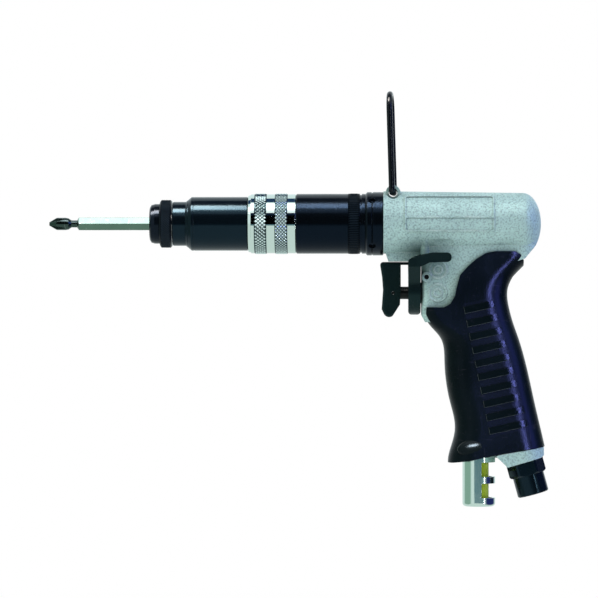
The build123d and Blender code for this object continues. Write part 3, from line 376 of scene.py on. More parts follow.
def scaled(colour: Rgb, factor: float) -> Rgb:
    """A colour times a factor."""
    return tuple(part * factor for part in colour)


@dataclass(frozen=True)
class Finish:
    """What every finish of the tool has in common."""

    name: str
    colour: Rgb
    roughness: float

    def start(self) -> tuple[Material, Sheet, Inputs]:
        """Makes the material.

        Returns:
            The material, its sheet and its surface shader's inputs.
        """
        material, sheet = new_material(self.name)
        return material, sheet, material.node_tree.nodes["Principled BSDF"].inputs

    def make(self, effects: Effects) -> Material:
        """Builds the material; each kind of finish has its own way."""
        raise NotImplementedError(self.name)


@dataclass(frozen=True)
class MachinedFinish(Finish):
    """Turned or ground metal, plain or blackened."""

    metallic: float = 1.0
    worn: Rgb = (0.42, 0.42, 0.42)
    wear: float = 0.5
    rings: float = 900.0
    ring_depth: float = 0.000004
    ring_tone: float = 0.25
    dust: float = 0.1
    dust_tone: Rgb = (0.30, 0.31, 0.32)
    tint: Rgb = WHITE
    edge: float = 0.00025
    specular: float = 0.5
    valley: tuple[float, float] | None = None
    groove_oil_and_shade: Rgb = (0.0005, 0.0008, 0.001)

    def make(self, effects: Effects) -> Material:
        """Builds the material from turning rings, worn edges, a little dust and, on a knurl, dirt and
        painted shade in its grooves.

        Args:
            effects: The groups that finishes share.

        Returns:
            The material.
        """
        material, sheet, shader = self.start()
        rings = sheet.effect(effects.lathe, Pitch_Scale=self.rings)["Rings"]
        edge = sheet.effect(effects.edge, Radius=self.edge, Wear=self.wear, Patch_Scale=260.0)
        dust = sheet.effect(effects.dust, Amount=self.dust)["Mask"]
        grain = sheet.effect(effects.grain, Grain_Scale=3200.0, Cloud_Scale=70.0)
        dark = scaled(self.colour, 1.0 - self.ring_tone)
        toned = sheet.blend(sheet.times(rings, grain["Cloud"]), self.colour, dark)
        # On a knurl the grooves darken towards the groove colour: partly dirt, partly painted shade between
        # its raised points or ridges.
        if self.valley:
            groove_oil_and_shade = sheet.effect(effects.valley, Low=self.valley[0], High=self.valley[1])["Mask"]
            toned = sheet.blend(groove_oil_and_shade, toned, self.groove_oil_and_shade)
        worn = sheet.blend(edge["Mask"], toned, self.worn)
        rough = sheet.spread(grain["Cloud"], 0.0, 1.0, self.roughness * 0.8, self.roughness * 1.25)
        height = sheet.plus(rings, sheet.times(grain["Grain"], 0.4))
        sheet.fill(shader, Base_Color=sheet.blend(dust, worn, self.dust_tone),
                   Metallic=sheet.spread(edge["Mask"], 0.0, 1.0, self.metallic),
                   Roughness=sheet.plus(rough, sheet.times(dust, 0.3)),
                   Specular_Tint=self.tint, Specular_IOR_Level=self.specular,
                   Normal=sheet.bump(height, self.ring_depth, Normal=edge["Normal"]))
        return material


@dataclass(frozen=True)
class BlackenedFinish(MachinedFinish):
    """Machined metal under a black coating."""

    metallic: float = 0.0
    worn: Rgb = (0.10, 0.11, 0.12)


@dataclass(frozen=True)
class PlatedFinish(Finish):
    """Bright plating with a faint mottle and, where the body is brushed, lines along one axis."""

    brush: Rgb = (60.0, 60.0, 60.0)
    brush_depth: float = 0.0000015
    edge: float = 0.0002
    shade: Rgb = (0.30, 0.34, 0.33)
    valley: tuple[float, float] | None = None
    groove_oil_and_shade: Rgb = (0.035, 0.06, 0.066)

    def make(self, effects: Effects) -> Material:
        """Builds the material from brushing, mottle, rounded edges and, on a knurl, dirt and painted shade
        in its grooves.

        Args:
            effects: The groups that finishes share.

        Returns:
            The material.
        """
        material, sheet, shader = self.start()
        edge = sheet.effect(effects.edge, Radius=self.edge, Wear=0.35, Patch_Scale=300.0)
        grain = sheet.effect(effects.grain, Grain_Scale=2400.0, Cloud_Scale=120.0)
        scuff = sheet.effect(effects.scuff, Amount=1.0)["Mask"]
        lines = sheet.spread(sheet.noise(sheet.stretched(self.brush), Detail=6.0), 0.3, 0.7)
        speck = sheet.spread(grain["Grain"], 0.86, 1.0, 0.0, 0.25)
        base = sheet.blend(speck, self.colour, self.shade)
        # On a knurl the grooves darken towards the groove colour: partly dirt, partly painted shade between
        # its raised points.
        if self.valley:
            groove_oil_and_shade = sheet.effect(effects.valley, Low=self.valley[0], High=self.valley[1])["Mask"]
            base = sheet.blend(groove_oil_and_shade, base, self.groove_oil_and_shade)
        rough = sheet.spread(sheet.times(lines, grain["Cloud"]), 0.0, 1.0,
                             self.roughness * 0.75, self.roughness * 1.5)
        sheet.fill(shader, Base_Color=base, Metallic=1.0,
                   Roughness=sheet.plus(rough, sheet.times(scuff, 0.12)),
                   Normal=sheet.bump(lines, self.brush_depth, Normal=edge["Normal"]))
        return material


@dataclass(frozen=True)
class CastFinish(Finish):
    """Bead-blasted cast aluminium."""

    pit: Rgb = (0.19, 0.30, 0.30)
    # Colour of the painted shade in recesses.
    painted_recess_shade: Rgb = (0.08, 0.14, 0.13)
    bare: Rgb = (0.80, 0.93, 0.90)
    metallic: float = 0.40
    bead_scale: float = 1150.0
    bead_depth: float = 0.00007
    recess_reach: float = 12.0 * MM
    # Centre, reach and colour of the painted shade round the lever's root.
    lever_shade_at: Rgb = (139.7 * MM, 0.0, -19.4 * MM)
    lever_shade_reach: float = 19.0 * MM
    painted_lever_shade: Rgb = (0.10, 0.19, 0.18)

    def make(self, effects: Effects) -> Material:
        """Builds the material from bead marks, specks, clouds, painted shade in recesses and round the
        lever's root, and bright edges that are partly wear and partly a painted highlight.

        Args:
            effects: The groups that finishes share.

        Returns:
            The material.
        """
        material, sheet, shader = self.start()
        edge = sheet.effect(effects.edge, Radius=0.0006, Wear=1.0, Patch_Scale=120.0)
        grain = sheet.effect(effects.grain, Grain_Scale=self.bead_scale, Cloud_Scale=55.0)
        dust = sheet.effect(effects.dust, Amount=0.1)["Mask"]
        beads = sheet.add("ShaderNodeTexVoronoi", feature="SMOOTH_F1")
        sheet.fill(beads.inputs, Vector=sheet.stretched(), Scale=self.bead_scale)
        pits = sheet.spread(grain["Grain"], 0.40, 1.0, 0.0, 0.80)
        clouded = sheet.blend(grain["Cloud"], self.colour, scaled(self.colour, 0.86))
        pitted = sheet.blend(pits, clouded, self.pit)
        # Painted shade: where the occlusion finds a recess, the colour is darkened towards a dark
        # green-grey.
        recess = sheet.add("ShaderNodeAmbientOcclusion", samples=8)
        sheet.fill(recess.inputs, Distance=self.recess_reach)
        open_sky = recess.outputs["AO"]
        recess_shaded = sheet.blend(sheet.spread(open_sky, 0.35, 0.92, 0.75, 0.0), pitted, self.painted_recess_shade)
        # Painted shade: a dark patch round the lever's root, fading outwards and broken by clouds.
        away = sheet.vector("DISTANCE", sheet.stretched((1.0, 0.0, 1.0)), self.lever_shade_at)["Value"]
        near = sheet.spread(away, 0.2 * self.lever_shade_reach, self.lever_shade_reach, 0.68, 0.0)
        lever_shade_share = sheet.times(near, sheet.spread(grain["Cloud"], 0.0, 1.0, 0.7))
        lever_shaded = sheet.blend(lever_shade_share, recess_shaded, self.painted_lever_shade)
        # The open edges turn towards the bare colour: partly wear, partly a painted highlight along raised
        # ridges such as the panel frame and rings.
        rubbed = sheet.times(edge["Mask"], sheet.spread(open_sky, 0.3, 0.7, 0.0, 1.6), True)
        rough = sheet.spread(grain["Cloud"], 0.0, 1.0, self.roughness * 0.85, self.roughness * 1.15)
        height = sheet.plus(beads.outputs["Distance"], grain["Grain"])
        sheet.fill(shader, Base_Color=sheet.blend(rubbed, lever_shaded, self.bare),
                   Metallic=sheet.spread(pits, 0.0, 0.55, self.metallic, 0.2),
                   Roughness=sheet.plus(rough, sheet.times(dust, 0.3)),
                   Normal=sheet.bump(height, self.bead_depth, Normal=edge["Normal"]))
        return material


@dataclass(frozen=True)
class BarField:
    """Where the grip's raised bars lie, seen from the side."""

    start: Rgb = (165.55 * MM, 0.0, -42.5 * MM)
    tilt: float = 12.5
    pitch: float = 6.9 * MM
    width: float = 3.5 * MM
    bars: int = 10
    front: Rgb = (158.95 * MM, 0.0, -42.0 * MM)
    front_lean: float = 0.206
    rear: Rgb = (173.15 * MM, 0.0, -37.0 * MM)
    rear_lean: float = 0.287

    def masks(self, sheet: Sheet) -> tuple[Source, Source]:
        """Marks the bars, and the field that they and their gaps fill.

        Args:
            sheet: The sheet of the material that the bars are part of.

        Returns:
            The sockets of both masks, each 1 inside and 0 outside.
        """
        turn = math.radians(self.tilt)
        place = sheet.stretched()

        def along(origin: Rgb, way: Rgb) -> Source:
            """How far a place lies from the origin, along a direction."""
            offset = sheet.vector("SUBTRACT", place, origin)["Vector"]
            return sheet.vector("DOT_PRODUCT", offset, way)["Value"]

        count = along(self.start, (math.sin(turn) / self.pitch, 0.0, -math.cos(turn) / self.pitch))
        behind = sheet.spread(along(self.front, (1.0, 0.0, self.front_lean)), -0.0002, 0.0002)
        before = sheet.spread(along(self.rear, (1.0, 0.0, self.rear_lean)), 0.0, 0.001, 1.0, 0.0)
        away = sheet.maths("ABSOLUTE", sheet.maths("SUBTRACT", count, sheet.maths("ROUND", count)))
        half = self.width / self.pitch / 2
        bar = sheet.spread(away, half - 0.03, half + 0.03, 1.0, 0.0)
        middle = (self.bars - 1) / 2
        outward = sheet.maths("ABSOLUTE", sheet.maths("SUBTRACT", count, middle))
        inside = sheet.spread(outward, middle + 0.45, middle + 0.5, 1.0, 0.0)
        field = sheet.times(inside, sheet.times(behind, before))
        return sheet.times(bar, field), field


@dataclass(frozen=True)
class MouldedFinish(Finish):
    """Moulded rubber or plastic, with scuffs where it is held."""

    grain_scale: float = 1600.0
    grain_depth: float = 0.00003
    scuffed: Rgb = (0.05, 0.05, 0.055)
    scuffs: float = 0.5
    edge: float = 0.0004
    tint: Rgb = WHITE
    specular: float = 0.3
    # Share and tone of the painted highlight on edges that face down and forward.
    rim: float = 0.0
    glint_tone: Rgb = (0.16, 0.19, 0.19)
    dust_tone: Rgb = (0.16, 0.16, 0.16)
    rubbed: BarField | None = None

    def make(self, effects: Effects) -> Material:
        """Builds the material from moulded grain, scuffs, dust and, on a grip, its rubbed bars and a painted
        highlight on edges that face down and forward.

        Args:
            effects: The groups that finishes share.

        Returns:
            The material.
        """
        material, sheet, shader = self.start()
        edge = sheet.effect(effects.edge, Radius=self.edge, Wear=0.5, Patch_Scale=220.0)
        grain = sheet.effect(effects.grain, Grain_Scale=self.grain_scale, Cloud_Scale=45.0)
        dust = sheet.effect(effects.dust, Amount=0.12)["Mask"]
        scuff = sheet.effect(effects.scuff, Amount=self.scuffs)["Mask"]
        light = sheet.maths("MAXIMUM", sheet.times(edge["Mask"], 0.6), scuff)
        clouded = sheet.blend(grain["Cloud"], self.colour, scaled(self.colour, 1.5))
        scuffed = sheet.blend(light, clouded, self.scuffed)
        # Painted highlight: edges that face down and forward are lightened towards the glint tone.
        glinted = sheet.blend(sheet.times(edge["Under"], self.rim), scuffed, self.glint_tone)
        rough = sheet.spread(grain["Cloud"], 0.0, 1.0, self.roughness * 0.85, self.roughness * 1.2)
        if self.rubbed:
            bar, field = self.rubbed.masks(sheet)
            gap = sheet.spread(field, 0.0, 1.0, 1.0, 1.25)
            rough = sheet.times(rough, sheet.spread(bar, 0.0, 1.0, gap, 0.6))
        sheet.fill(shader, Base_Color=sheet.blend(dust, glinted, self.dust_tone),
                   Roughness=sheet.plus(rough, sheet.times(light, 0.2)),
                   Specular_IOR_Level=self.specular, Specular_Tint=self.tint,
                   Normal=sheet.bump(grain["Grain"], self.grain_depth, Normal=edge["Normal"]))
        return material


@dataclass(frozen=True)
class BitFinish(Finish):
    """Hardened bit steel, whose turned head is darker than the drawn hexagon."""

    head_colour: Rgb = (0.045, 0.075, 0.065)
    head_from: float = -37.5 * MM
    head_to: float = -35.5 * MM
    clouds: Rgb = (0.08, 0.12, 0.10)
    bare: Rgb = (0.34, 0.38, 0.36)

    def make(self, effects: Effects) -> Material:
        """Builds the material from two tones of steel along X.

        Args:
            effects: The groups that finishes share.

        Returns:
            The material.
        """
        material, sheet, shader = self.start()
        edge = sheet.effect(effects.edge, Radius=0.0003, Wear=0.1, Patch_Scale=500.0)
        grain = sheet.effect(effects.grain, Grain_Scale=2600.0, Cloud_Scale=180.0)
        scuff = sheet.effect(effects.scuff, Amount=0.7)["Mask"]
        shank = sheet.spread(sheet.split(sheet.stretched())["X"], self.head_from, self.head_to)
        toned = sheet.blend(shank, self.head_colour, self.colour)
        clouded = sheet.blend(sheet.times(grain["Cloud"], 0.25), toned, self.clouds)
        worn = sheet.maths("MAXIMUM", edge["Mask"], scuff)
        rough = sheet.spread(grain["Cloud"], 0.0, 1.0, self.roughness * 0.8, self.roughness * 1.3)
        sheet.fill(shader, Base_Color=sheet.blend(worn, clouded, self.bare), Metallic=1.0, Roughness=rough,
                   Normal=sheet.bump(grain["Grain"], 0.000006, Normal=edge["Normal"]))
        return material


@dataclass(frozen=True)
class FeltFinish(Finish):
    """Pressed felt: tangled fibres, matt and soft."""

    fibre: Rgb = (0.66, 0.80, 0.05)

    def make(self, effects: Effects) -> Material:
        """Builds the material from two crossing sets of fibres.

        Args:
            effects: The groups that finishes share.

        Returns:
            The material.
        """
        material, sheet, shader = self.start()
        fibres = sheet.maths("MAXIMUM", *(
            sheet.noise(sheet.stretched(scale), Distortion=1.2)
            for scale in ((2600.0, 2600.0, 500.0), (700.0, 1900.0, 2400.0))))
        cloud = sheet.effect(effects.grain, Grain_Scale=900.0, Cloud_Scale=150.0)["Cloud"]
        tone = sheet.times(sheet.spread(fibres, 0.4, 0.75), cloud)
        sheet.fill(shader, Base_Color=sheet.blend(tone, self.colour, self.fibre),
                   Roughness=self.roughness, Sheen_Weight=0.4, Normal=sheet.bump(fibres, 0.0003))
        return material


class Palette:
    """Every finish of the tool, each made when a piece first asks for it."""

    FINISHES: tuple[Finish, ...] = (
        BlackenedFinish("case_black", (0.0028, 0.0058, 0.0088), 0.13, wear=0.12, dust=0.02,
                        worn=(0.20, 0.22, 0.24), tint=(0.36, 0.72, 1.0), ring_tone=0.4, specular=0.30),
        BlackenedFinish("gear_case_black", (0.0018, 0.0030, 0.0042), 0.16, wear=0.12, dust=0.02,
                        worn=(0.20, 0.22, 0.24), tint=(0.30, 0.56, 1.0), ring_tone=0.4, specular=0.20),
        BlackenedFinish("knurl_black", (0.003, 0.005, 0.008), 0.13, wear=0.3, dust=0.03,
                        tint=(0.5, 0.7, 1.0), edge=0.00003, specular=0.2),
        BlackenedFinish("sleeve_knurl_black", (0.020, 0.030, 0.040), 0.3, wear=0.3, dust=0.0,
                        tint=(0.5, 0.7, 1.0), edge=0.00003, specular=0.08, valley=(0.01198, 0.01208)),
        BlackenedFinish("gear_knurl_black", (0.006, 0.010, 0.014), 0.4, wear=0.1, dust=0.0,
                        tint=(0.36, 0.60, 1.0), edge=0.00003, specular=0.08, valley=(0.01523, 0.01530)),
        BlackenedFinish("blackened_pin", (0.004, 0.006, 0.007), 0.3, wear=0.2, dust=0.05, specular=0.2),
        MachinedFinish("ground_steel", (0.55, 0.56, 0.56), 0.22, wear=0.4, worn=(0.8, 0.8, 0.8)),
        MachinedFinish("hardened_steel", (0.36, 0.36, 0.37), 0.28, wear=0.6, worn=(0.75, 0.75, 0.75)),
        MachinedFinish("spring_wire", (0.22, 0.22, 0.23), 0.3, wear=0.3, worn=(0.6, 0.6, 0.6)),
        MachinedFinish("motor_iron", (0.30, 0.30, 0.29), 0.38, wear=0.5, worn=(0.6, 0.6, 0.6)),
        MachinedFinish("valve_brass", (0.62, 0.42, 0.16), 0.26, wear=0.4, worn=(0.8, 0.6, 0.3)),
        PlatedFinish("chrome_ring", (0.66, 0.78, 0.73), 0.05, brush=(1800.0, 40.0, 40.0)),
        PlatedFinish("chrome_knurl", (0.70, 0.84, 0.82), 0.10, brush=(400.0, 400.0, 400.0), edge=0.00003,
                     valley=(0.01506, 0.01521)),
        PlatedFinish("silencer_plating", (0.66, 0.80, 0.74), 0.10, brush=(1500.0, 1500.0, 40.0),
                     brush_depth=0.0000025),
        CastFinish("blasted_aluminium", (0.60, 0.82, 0.77), 0.52),
        MouldedFinish("grip_rubber", (0.0022, 0.0050, 0.0058), 0.27, tint=(0.60, 0.66, 1.0), specular=0.08,
                      scuffed=(0.02, 0.02, 0.024), edge=0.0003, rim=0.9, rubbed=BarField()),
        MouldedFinish("polished_rubber", (0.0022, 0.0050, 0.0060), 0.20, tint=(0.8, 0.9, 1.0), specular=0.10,
                      grain_depth=0.000006, scuffs=0.1),
        MouldedFinish("control_plastic", (0.004, 0.0095, 0.0100), 0.22, grain_depth=0.000008,
                      scuffed=(0.03, 0.03, 0.034), scuffs=0.2, specular=0.22, tint=(0.45, 0.85, 0.85)),
        MouldedFinish("bail_enamel", (0.003, 0.004, 0.006), 0.14, grain_depth=0.000004,
                      scuffs=0.2, tint=(0.8, 0.9, 1.0), specular=0.25),
        MouldedFinish("seal_rubber", (0.006, 0.006, 0.006), 0.5),
        MouldedFinish("vane_resin", (0.16, 0.09, 0.04), 0.5, scuffed=(0.30, 0.20, 0.12)),
        BitFinish("bit_steel", (0.13, 0.22, 0.17), 0.20),
        FeltFinish("silencer_felt", (0.44, 0.58, 0.015), 0.95),
    )

    def __init__(self, effects: Effects) -> None:
        """Keeps the shared effects.

        Args:
            effects: The groups that the finishes place.
        """
        self.effects = effects
        self.by_name = {finish.name: finish for finish in self.FINISHES}
        self.made: dict[str, Material] = {}

    def get(self, name: str) -> Material:
        """The material of a finish, made once.

        Args:
            name: The finish.

        Returns:
            The material.
        """
        if name not in self.made:
            self.made[name] = self.by_name[name].make(self.effects)
        return self.made[name]

    def dress(self, nodes: tuple[str, ...], name: str) -> None:
        """Gives CAD nodes a finish.

        Args:
            nodes: The nodes' names.
            name: The finish.
        """
        for node in nodes:
            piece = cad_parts[node]
            if not piece.material_slots:
                piece.data.materials.append(None)
            for slot in piece.material_slots:
                slot.material = self.get(name)
        LOG.info("%s on %s", name, ", ".join(nodes))


def clear_selection() -> None:
    """Leaves object mode with nothing selected."""
    if bpy.context.object and bpy.context.object.mode != "OBJECT":
        bpy.ops.object.mode_set(mode="OBJECT")
    bpy.ops.object.select_all(action="DESELECT")


def apply_place() -> None:
    """Puts the active piece's place, turn and size into its mesh."""
    bpy.ops.object.transform_apply(location=True, rotation=True, scale=True)


def edit_mesh(action: str) -> None:
    """Goes to edit mode with all of the mesh selected or deselected."""
    bpy.ops.object.mode_set(mode="EDIT")
    bpy.ops.mesh.select_all(action=action)


def open_ring(vertices: int, radius: float, location: Rgb, rotation: Rgb) -> Piece:
    """Starts a piece from a ring of points without a face.

    Args:
        vertices: How many points.
        radius: The ring's radius.
        location: Its middle.
        rotation: Its turn.

    Returns:
        The piece, active in object mode.
    """
    clear_selection()
    bpy.ops.mesh.primitive_circle_add(vertices=vertices, radius=radius, fill_type="NOTHING",
                                      location=location, rotation=rotation)
    apply_place()
    return bpy.context.object


def settle(name: str, body: str, material: Material) -> Piece:
    """Ends the modelling of the active piece and puts it on its body.

    Args:
        name: The piece's name.
        body: The body that it moves with.
        material: Its finish.

    Returns:
        The piece, at the origin with its place in its mesh.
    """
    if bpy.context.object.mode != "OBJECT":
        bpy.ops.object.mode_set(mode="OBJECT")
    piece = bpy.context.object
    piece.name = name
    piece.data.name = name
    apply_place()
    piece.data.materials.clear()
    piece.data.materials.append(material)
    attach(piece, body)
    LOG.info("%s rides on %s with %d faces", name, body, len(piece.data.polygons))
    clear_selection()
    return piece


def wind(profile: Piece, axis: str, angle: float, rise: float, steps: int, rounds: int, sides: int) -> None:
    """Winds a profile into a coil with closed ends, and leaves it in edit mode.

    Args:
        profile: The open ring of points to wind, the active object.
        axis: The axis to wind about.
        angle: The angle of one round.
        rise: How far one round moves along the axis.
        steps: The steps of one round.
        rounds: How many rounds.
        sides: The profile's number of points.
    """
    screw = profile.modifiers.new("winding", "SCREW")
    screw.axis, screw.angle, screw.screw_offset = axis, angle, rise
    screw.iterations, screw.steps, screw.render_steps = rounds, steps, steps
    screw.use_merge_vertices = False
    bpy.ops.object.modifier_apply(modifier=screw.name)
    edit_mesh("SELECT")
    bpy.ops.mesh.fill_holes(sides=sides)
    bpy.ops.mesh.normals_make_consistent(inside=False)


@dataclass
class KnurlBand:
    """A knurled band round the barrel: a thin ring whose outer face stands up in points or ridges."""

    name: str
    body: str
    slot: str
    start: float
    length: float
    low: float
    high: float
    pitch: float
    pattern: KnurlPattern = KnurlPattern.DIAMOND
    sunk: float = 0.00035

    def build(self, material: Material) -> Piece:
        """Models the band.

        Args:
            material: Its finish.

        Returns:
            The finished piece.
        """
        columns = 2 * round(math.pi * 2 * self.low / self.pitch)
        rows = 2 * max(1, round(self.length / self.pitch))
        if self.pattern is KnurlPattern.STRAIGHT:
            rows = 4
        inner = self.low - self.sunk
        open_ring(columns, inner, (self.start, 0, 0), (0, math.pi / 2, 0))
        edit_mesh("SELECT")
        self._grow(self.low / inner, self.start)
        for _ in range(rows):
            step = (self.length / rows, 0, 0)
            bpy.ops.mesh.extrude_region_move(TRANSFORM_OT_translate={"value": step})
        self._grow(inner / self.low, self.start + self.length)
        bpy.ops.mesh.select_all(action="DESELECT")
        bpy.ops.mesh.select_mode(type="EDGE")
        bpy.ops.mesh.select_non_manifold(extend=False)
        bpy.ops.mesh.bridge_edge_loops()
        bpy.ops.mesh.select_mode(type="VERT")
        self._raise_points(rows, columns)
        bpy.ops.mesh.select_all(action="SELECT")
        if self.pattern is KnurlPattern.DIAMOND:
            bpy.ops.mesh.quads_convert_to_tris(quad_method="SHORTEST_DIAGONAL")
        bpy.ops.mesh.normals_make_consistent(inside=False)
        return settle(self.name, self.body, material)

    @staticmethod
    def _grow(factor: float, place: float) -> None:
        """Extrudes the selected ring outward or inward in its own plane."""
        bpy.ops.mesh.extrude_region_move(TRANSFORM_OT_translate={"value": (0, 0, 0)})
        bpy.ops.transform.resize(value=(1, factor, factor), center_override=(place, 0, 0))

    def _raise_points(self, rows: int, columns: int) -> None:
        """Lifts every other point of the outer face, so that it stands up in the pattern.

        Args:
            rows: How many rows of faces the band has along the barrel.
            columns: How many points it has round the barrel.
        """
        bpy.ops.mesh.select_all(action="DESELECT")
        mesh = bmesh.from_edit_mesh(bpy.context.object.data)
        for vertex in mesh.verts:
            row = round((vertex.co.x - self.start) / self.length * rows)
            turn = math.atan2(vertex.co.z, vertex.co.y) / (2 * math.pi)
            column = round(turn * columns)
            outer = math.hypot(vertex.co.y, vertex.co.z) > self.low - self.sunk / 2
            if self.pattern is KnurlPattern.DIAMOND:
                chosen = (row + column) % 2 == 0
            else:
                chosen = column % 2 == 0
            vertex.select = outer and 0 < row < rows and chosen
        mesh.select_flush_mode()
        bmesh.update_edit_mesh(bpy.context.object.data)
        factor = self.high / self.low
        bpy.ops.transform.resize(value=(1, factor, factor), center_override=(0, 0, 0))


@dataclass(frozen=True)
class CoilSpring:
    """A closed helical spring along X that a joint presses together."""

    name: str
    node: str
    body: str
    start: float
    end: float
    turns: float
    radius: float
    wire: float
    joint: str
    anchor: float
    keep: float
    height: float = 0.0

    TURN_STEPS: ClassVar[int] = 48
    WIRE_SIDES: ClassVar[int] = 16

    def build(self, material: Material) -> Piece:
        """Winds the spring in place of the solid.

        Args:
            material: The spring's finish.

        Returns:
            The spring.
        """
        ring = open_ring(self.WIRE_SIDES, self.wire / 2, (self.start, 0, self.radius), (math.pi / 2, 0, 0))
        wind(ring, "X", 2 * math.pi * self.turns, self.end - self.start,
             round(self.TURN_STEPS * self.turns), 1, self.WIRE_SIDES)
        bpy.ops.transform.translate(value=(0, 0, self.height))
        bpy.ops.object.mode_set(mode="OBJECT")
        bpy.ops.object.shade_smooth_by_angle(angle=WIRE_SMOOTHING)
        piece = settle(self.name, self.body, material)
        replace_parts(piece, self.node)
        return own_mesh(piece)


SPRINGS = (
    CoilSpring("sleeve_return_spring", "sleeve_spring", "spindle", 1.901 * MM, 6.6 * MM, 3.5,
               6.9 * MM, 0.7 * MM, "sleeve_slide", 1.551 * MM, 0.537),
    CoilSpring("clutch_spring_front", "clutch_spring", "spindle", 45.904 * MM, 53.46 * MM, 2.0,
               7.6 * MM, 2.2 * MM, "clutch_release", 53.46 * MM, 0.862),
    CoilSpring("clutch_spring_rear", "clutch_spring", "spindle", 53.46 * MM, 62.896 * MM, 2.5,
               7.6 * MM, 2.2 * MM, "torque_adjust", 53.46 * MM, 0.715),
    CoilSpring("throttle_return_spring", "throttle_spring", "pistol", 165.852 * MM, 171.649 * MM, 3.0,
               3.6 * MM, 0.7 * MM, "trigger_pull", 171.999 * MM, 0.507, -35.1 * MM),
)


@dataclass
class SubAssembly:
    """A group of the tool's nodes with their finishes, and pieces of its own where it has any."""

    FINISHES: ClassVar[dict[str, tuple[str, ...]]] = {}

    def build(self, palette: Palette) -> None:
        """Dresses the nodes, then models the pieces.

        Args:
            palette: The finishes.
        """
        for finish, nodes in self.FINISHES.items():
            palette.dress(nodes, finish)
        self.model(palette)

    def model(self, palette: Palette) -> None:
        """Models the pieces of its own, if any."""


@dataclass
class BitDrive(SubAssembly):
    """Bit, spindle and the quick-release sleeve round them."""

    knurl: KnurlBand

    FINISHES = {
        "bit_steel": ("screwdriver_bit",),
        "ground_steel": ("spindle", "bit_lock_balls", "spindle_bearing_outer", "spindle_bearing_balls",
                         "spindle_bearing_inner"),
        "spring_wire": ("sleeve_stop_ring",),
        "knurl_black": ("bit_sleeve",),
    }

    def model(self, palette: Palette) -> None:
        """Adds the sleeve's knurl."""
        self.knurl.build(palette.get("sleeve_knurl_black"))


@dataclass
class TorqueClutch(SubAssembly):
    """Ball clutch, its adjusting nut and the cases round them."""

    knurls: tuple[KnurlBand, ...]

    FINISHES = {
        "case_black": ("nose_bushing", "clutch_case"),
        "chrome_ring": ("cover_ring",),
        "hardened_steel": ("clutch_balls", "clutch_disc", "adjusting_nut"),
    }

    def model(self, palette: Palette) -> None:
        """Adds the cover ring's two knurled bands.

        Args:
            palette: The finishes.
        """
        for knurl in self.knurls:
            knurl.build(palette.get("chrome_knurl"))


@dataclass
class GearTrain(SubAssembly):
    """Two planetary stages, their case and the clamp ring."""

    knurl: KnurlBand

    FINISHES = {
        "gear_case_black": ("gear_case", "clamp_ring"),
        "hardened_steel": ("ring_gear", "output_carrier", "first_stage_carrier", "output_planet_pins",
                           "first_planet_pins", "first_planet_a", "output_planet_a", "first_planet_b",
                           "output_planet_b", "first_planet_c", "output_planet_c"),
        "ground_steel": ("output_bearing_outer", "output_bearing_balls", "output_bearing_inner"),
    }

    def model(self, palette: Palette) -> None:
        """Adds the case's straight knurl."""
        self.knurl.build(palette.get("gear_knurl_black"))


@dataclass
class VaneMotor(SubAssembly):
    """The air motor inside the housing."""

    FINISHES = {
        "motor_iron": ("front_end_plate", "motor_cylinder", "rear_end_plate"),
        "hardened_steel": ("rotor",),
        "vane_resin": ("rotor_vanes",),
        "ground_steel": ("rotor_front_bearing_outer", "rotor_front_bearing_balls",
                         "rotor_front_bearing_inner", "rotor_rear_bearing_outer",
                         "rotor_rear_bearing_balls", "rotor_rear_bearing_inner"),
    }


@dataclass
class PistolHandle(SubAssembly):
    """Cast housing, rubber grip and hanger bail."""

    FINISHES = {
        "blasted_aluminium": ("housing",),
        "grip_rubber": ("grip_sleeve",),
        "bail_enamel": ("hanger",),
    }

    swelling_at: Rgb = (163.2 * MM, 0.0, -113.0 * MM)
    swelling_half: Rgb = (7.5 * MM, 3.0 * MM, 4.2 * MM)
    swelling_rise: float = 0.9 * MM
    swelling_tilt: float = 12.0

    def model(self, palette: Palette) -> None:
        """Adds the two thumb swellings.

        Args:
            palette: The finishes.
        """
        for name, side in (("grip_swelling_near", -1.0), ("grip_swelling_far", 1.0)):
            self._swelling(name, side, palette.get("polished_rubber"))

    def _swelling(self, name: str, side: float, material: Material) -> Piece:
        """Models a low oval swelling on one side of the grip's foot.

        Args:
            name: The piece's name.
            side: -1 for the near side, 1 for the far side.
            material: Its finish.

        Returns:
            The finished piece.
        """
        x, _, z = self.swelling_at
        found, place, _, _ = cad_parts["grip_sleeve"].ray_cast((x, 0.1 * side, z), (0.0, -side, 0.0))
        if not found:
            raise ValueError("the grip has no side where the swelling goes")
        clear_selection()
        bpy.ops.mesh.primitive_uv_sphere_add(segments=64, ring_count=32, radius=1.0)
        piece = bpy.context.object
        piece.scale = self.swelling_half
        piece.rotation_euler = (0, -math.radians(self.swelling_tilt), 0)
        piece.location = (x, place.y + side * (self.swelling_rise - self.swelling_half[1]), z)
        bpy.ops.object.shade_smooth()
        return settle(name, "pistol", material)


@dataclass
class Controls(SubAssembly):
    """Trigger with its throttle valve, and the reverse lever with its valve."""

    FINISHES = {
        "control_plastic": ("trigger", "reverse_lever"),
        "blackened_pin": ("throttle_stem", "trigger_pin", "lever_retaining_pin", "valve_bushing",
                          "reverse_valve"),
        "valve_brass": ("throttle_valve",),
        "seal_rubber": ("valve_seals",),
    }


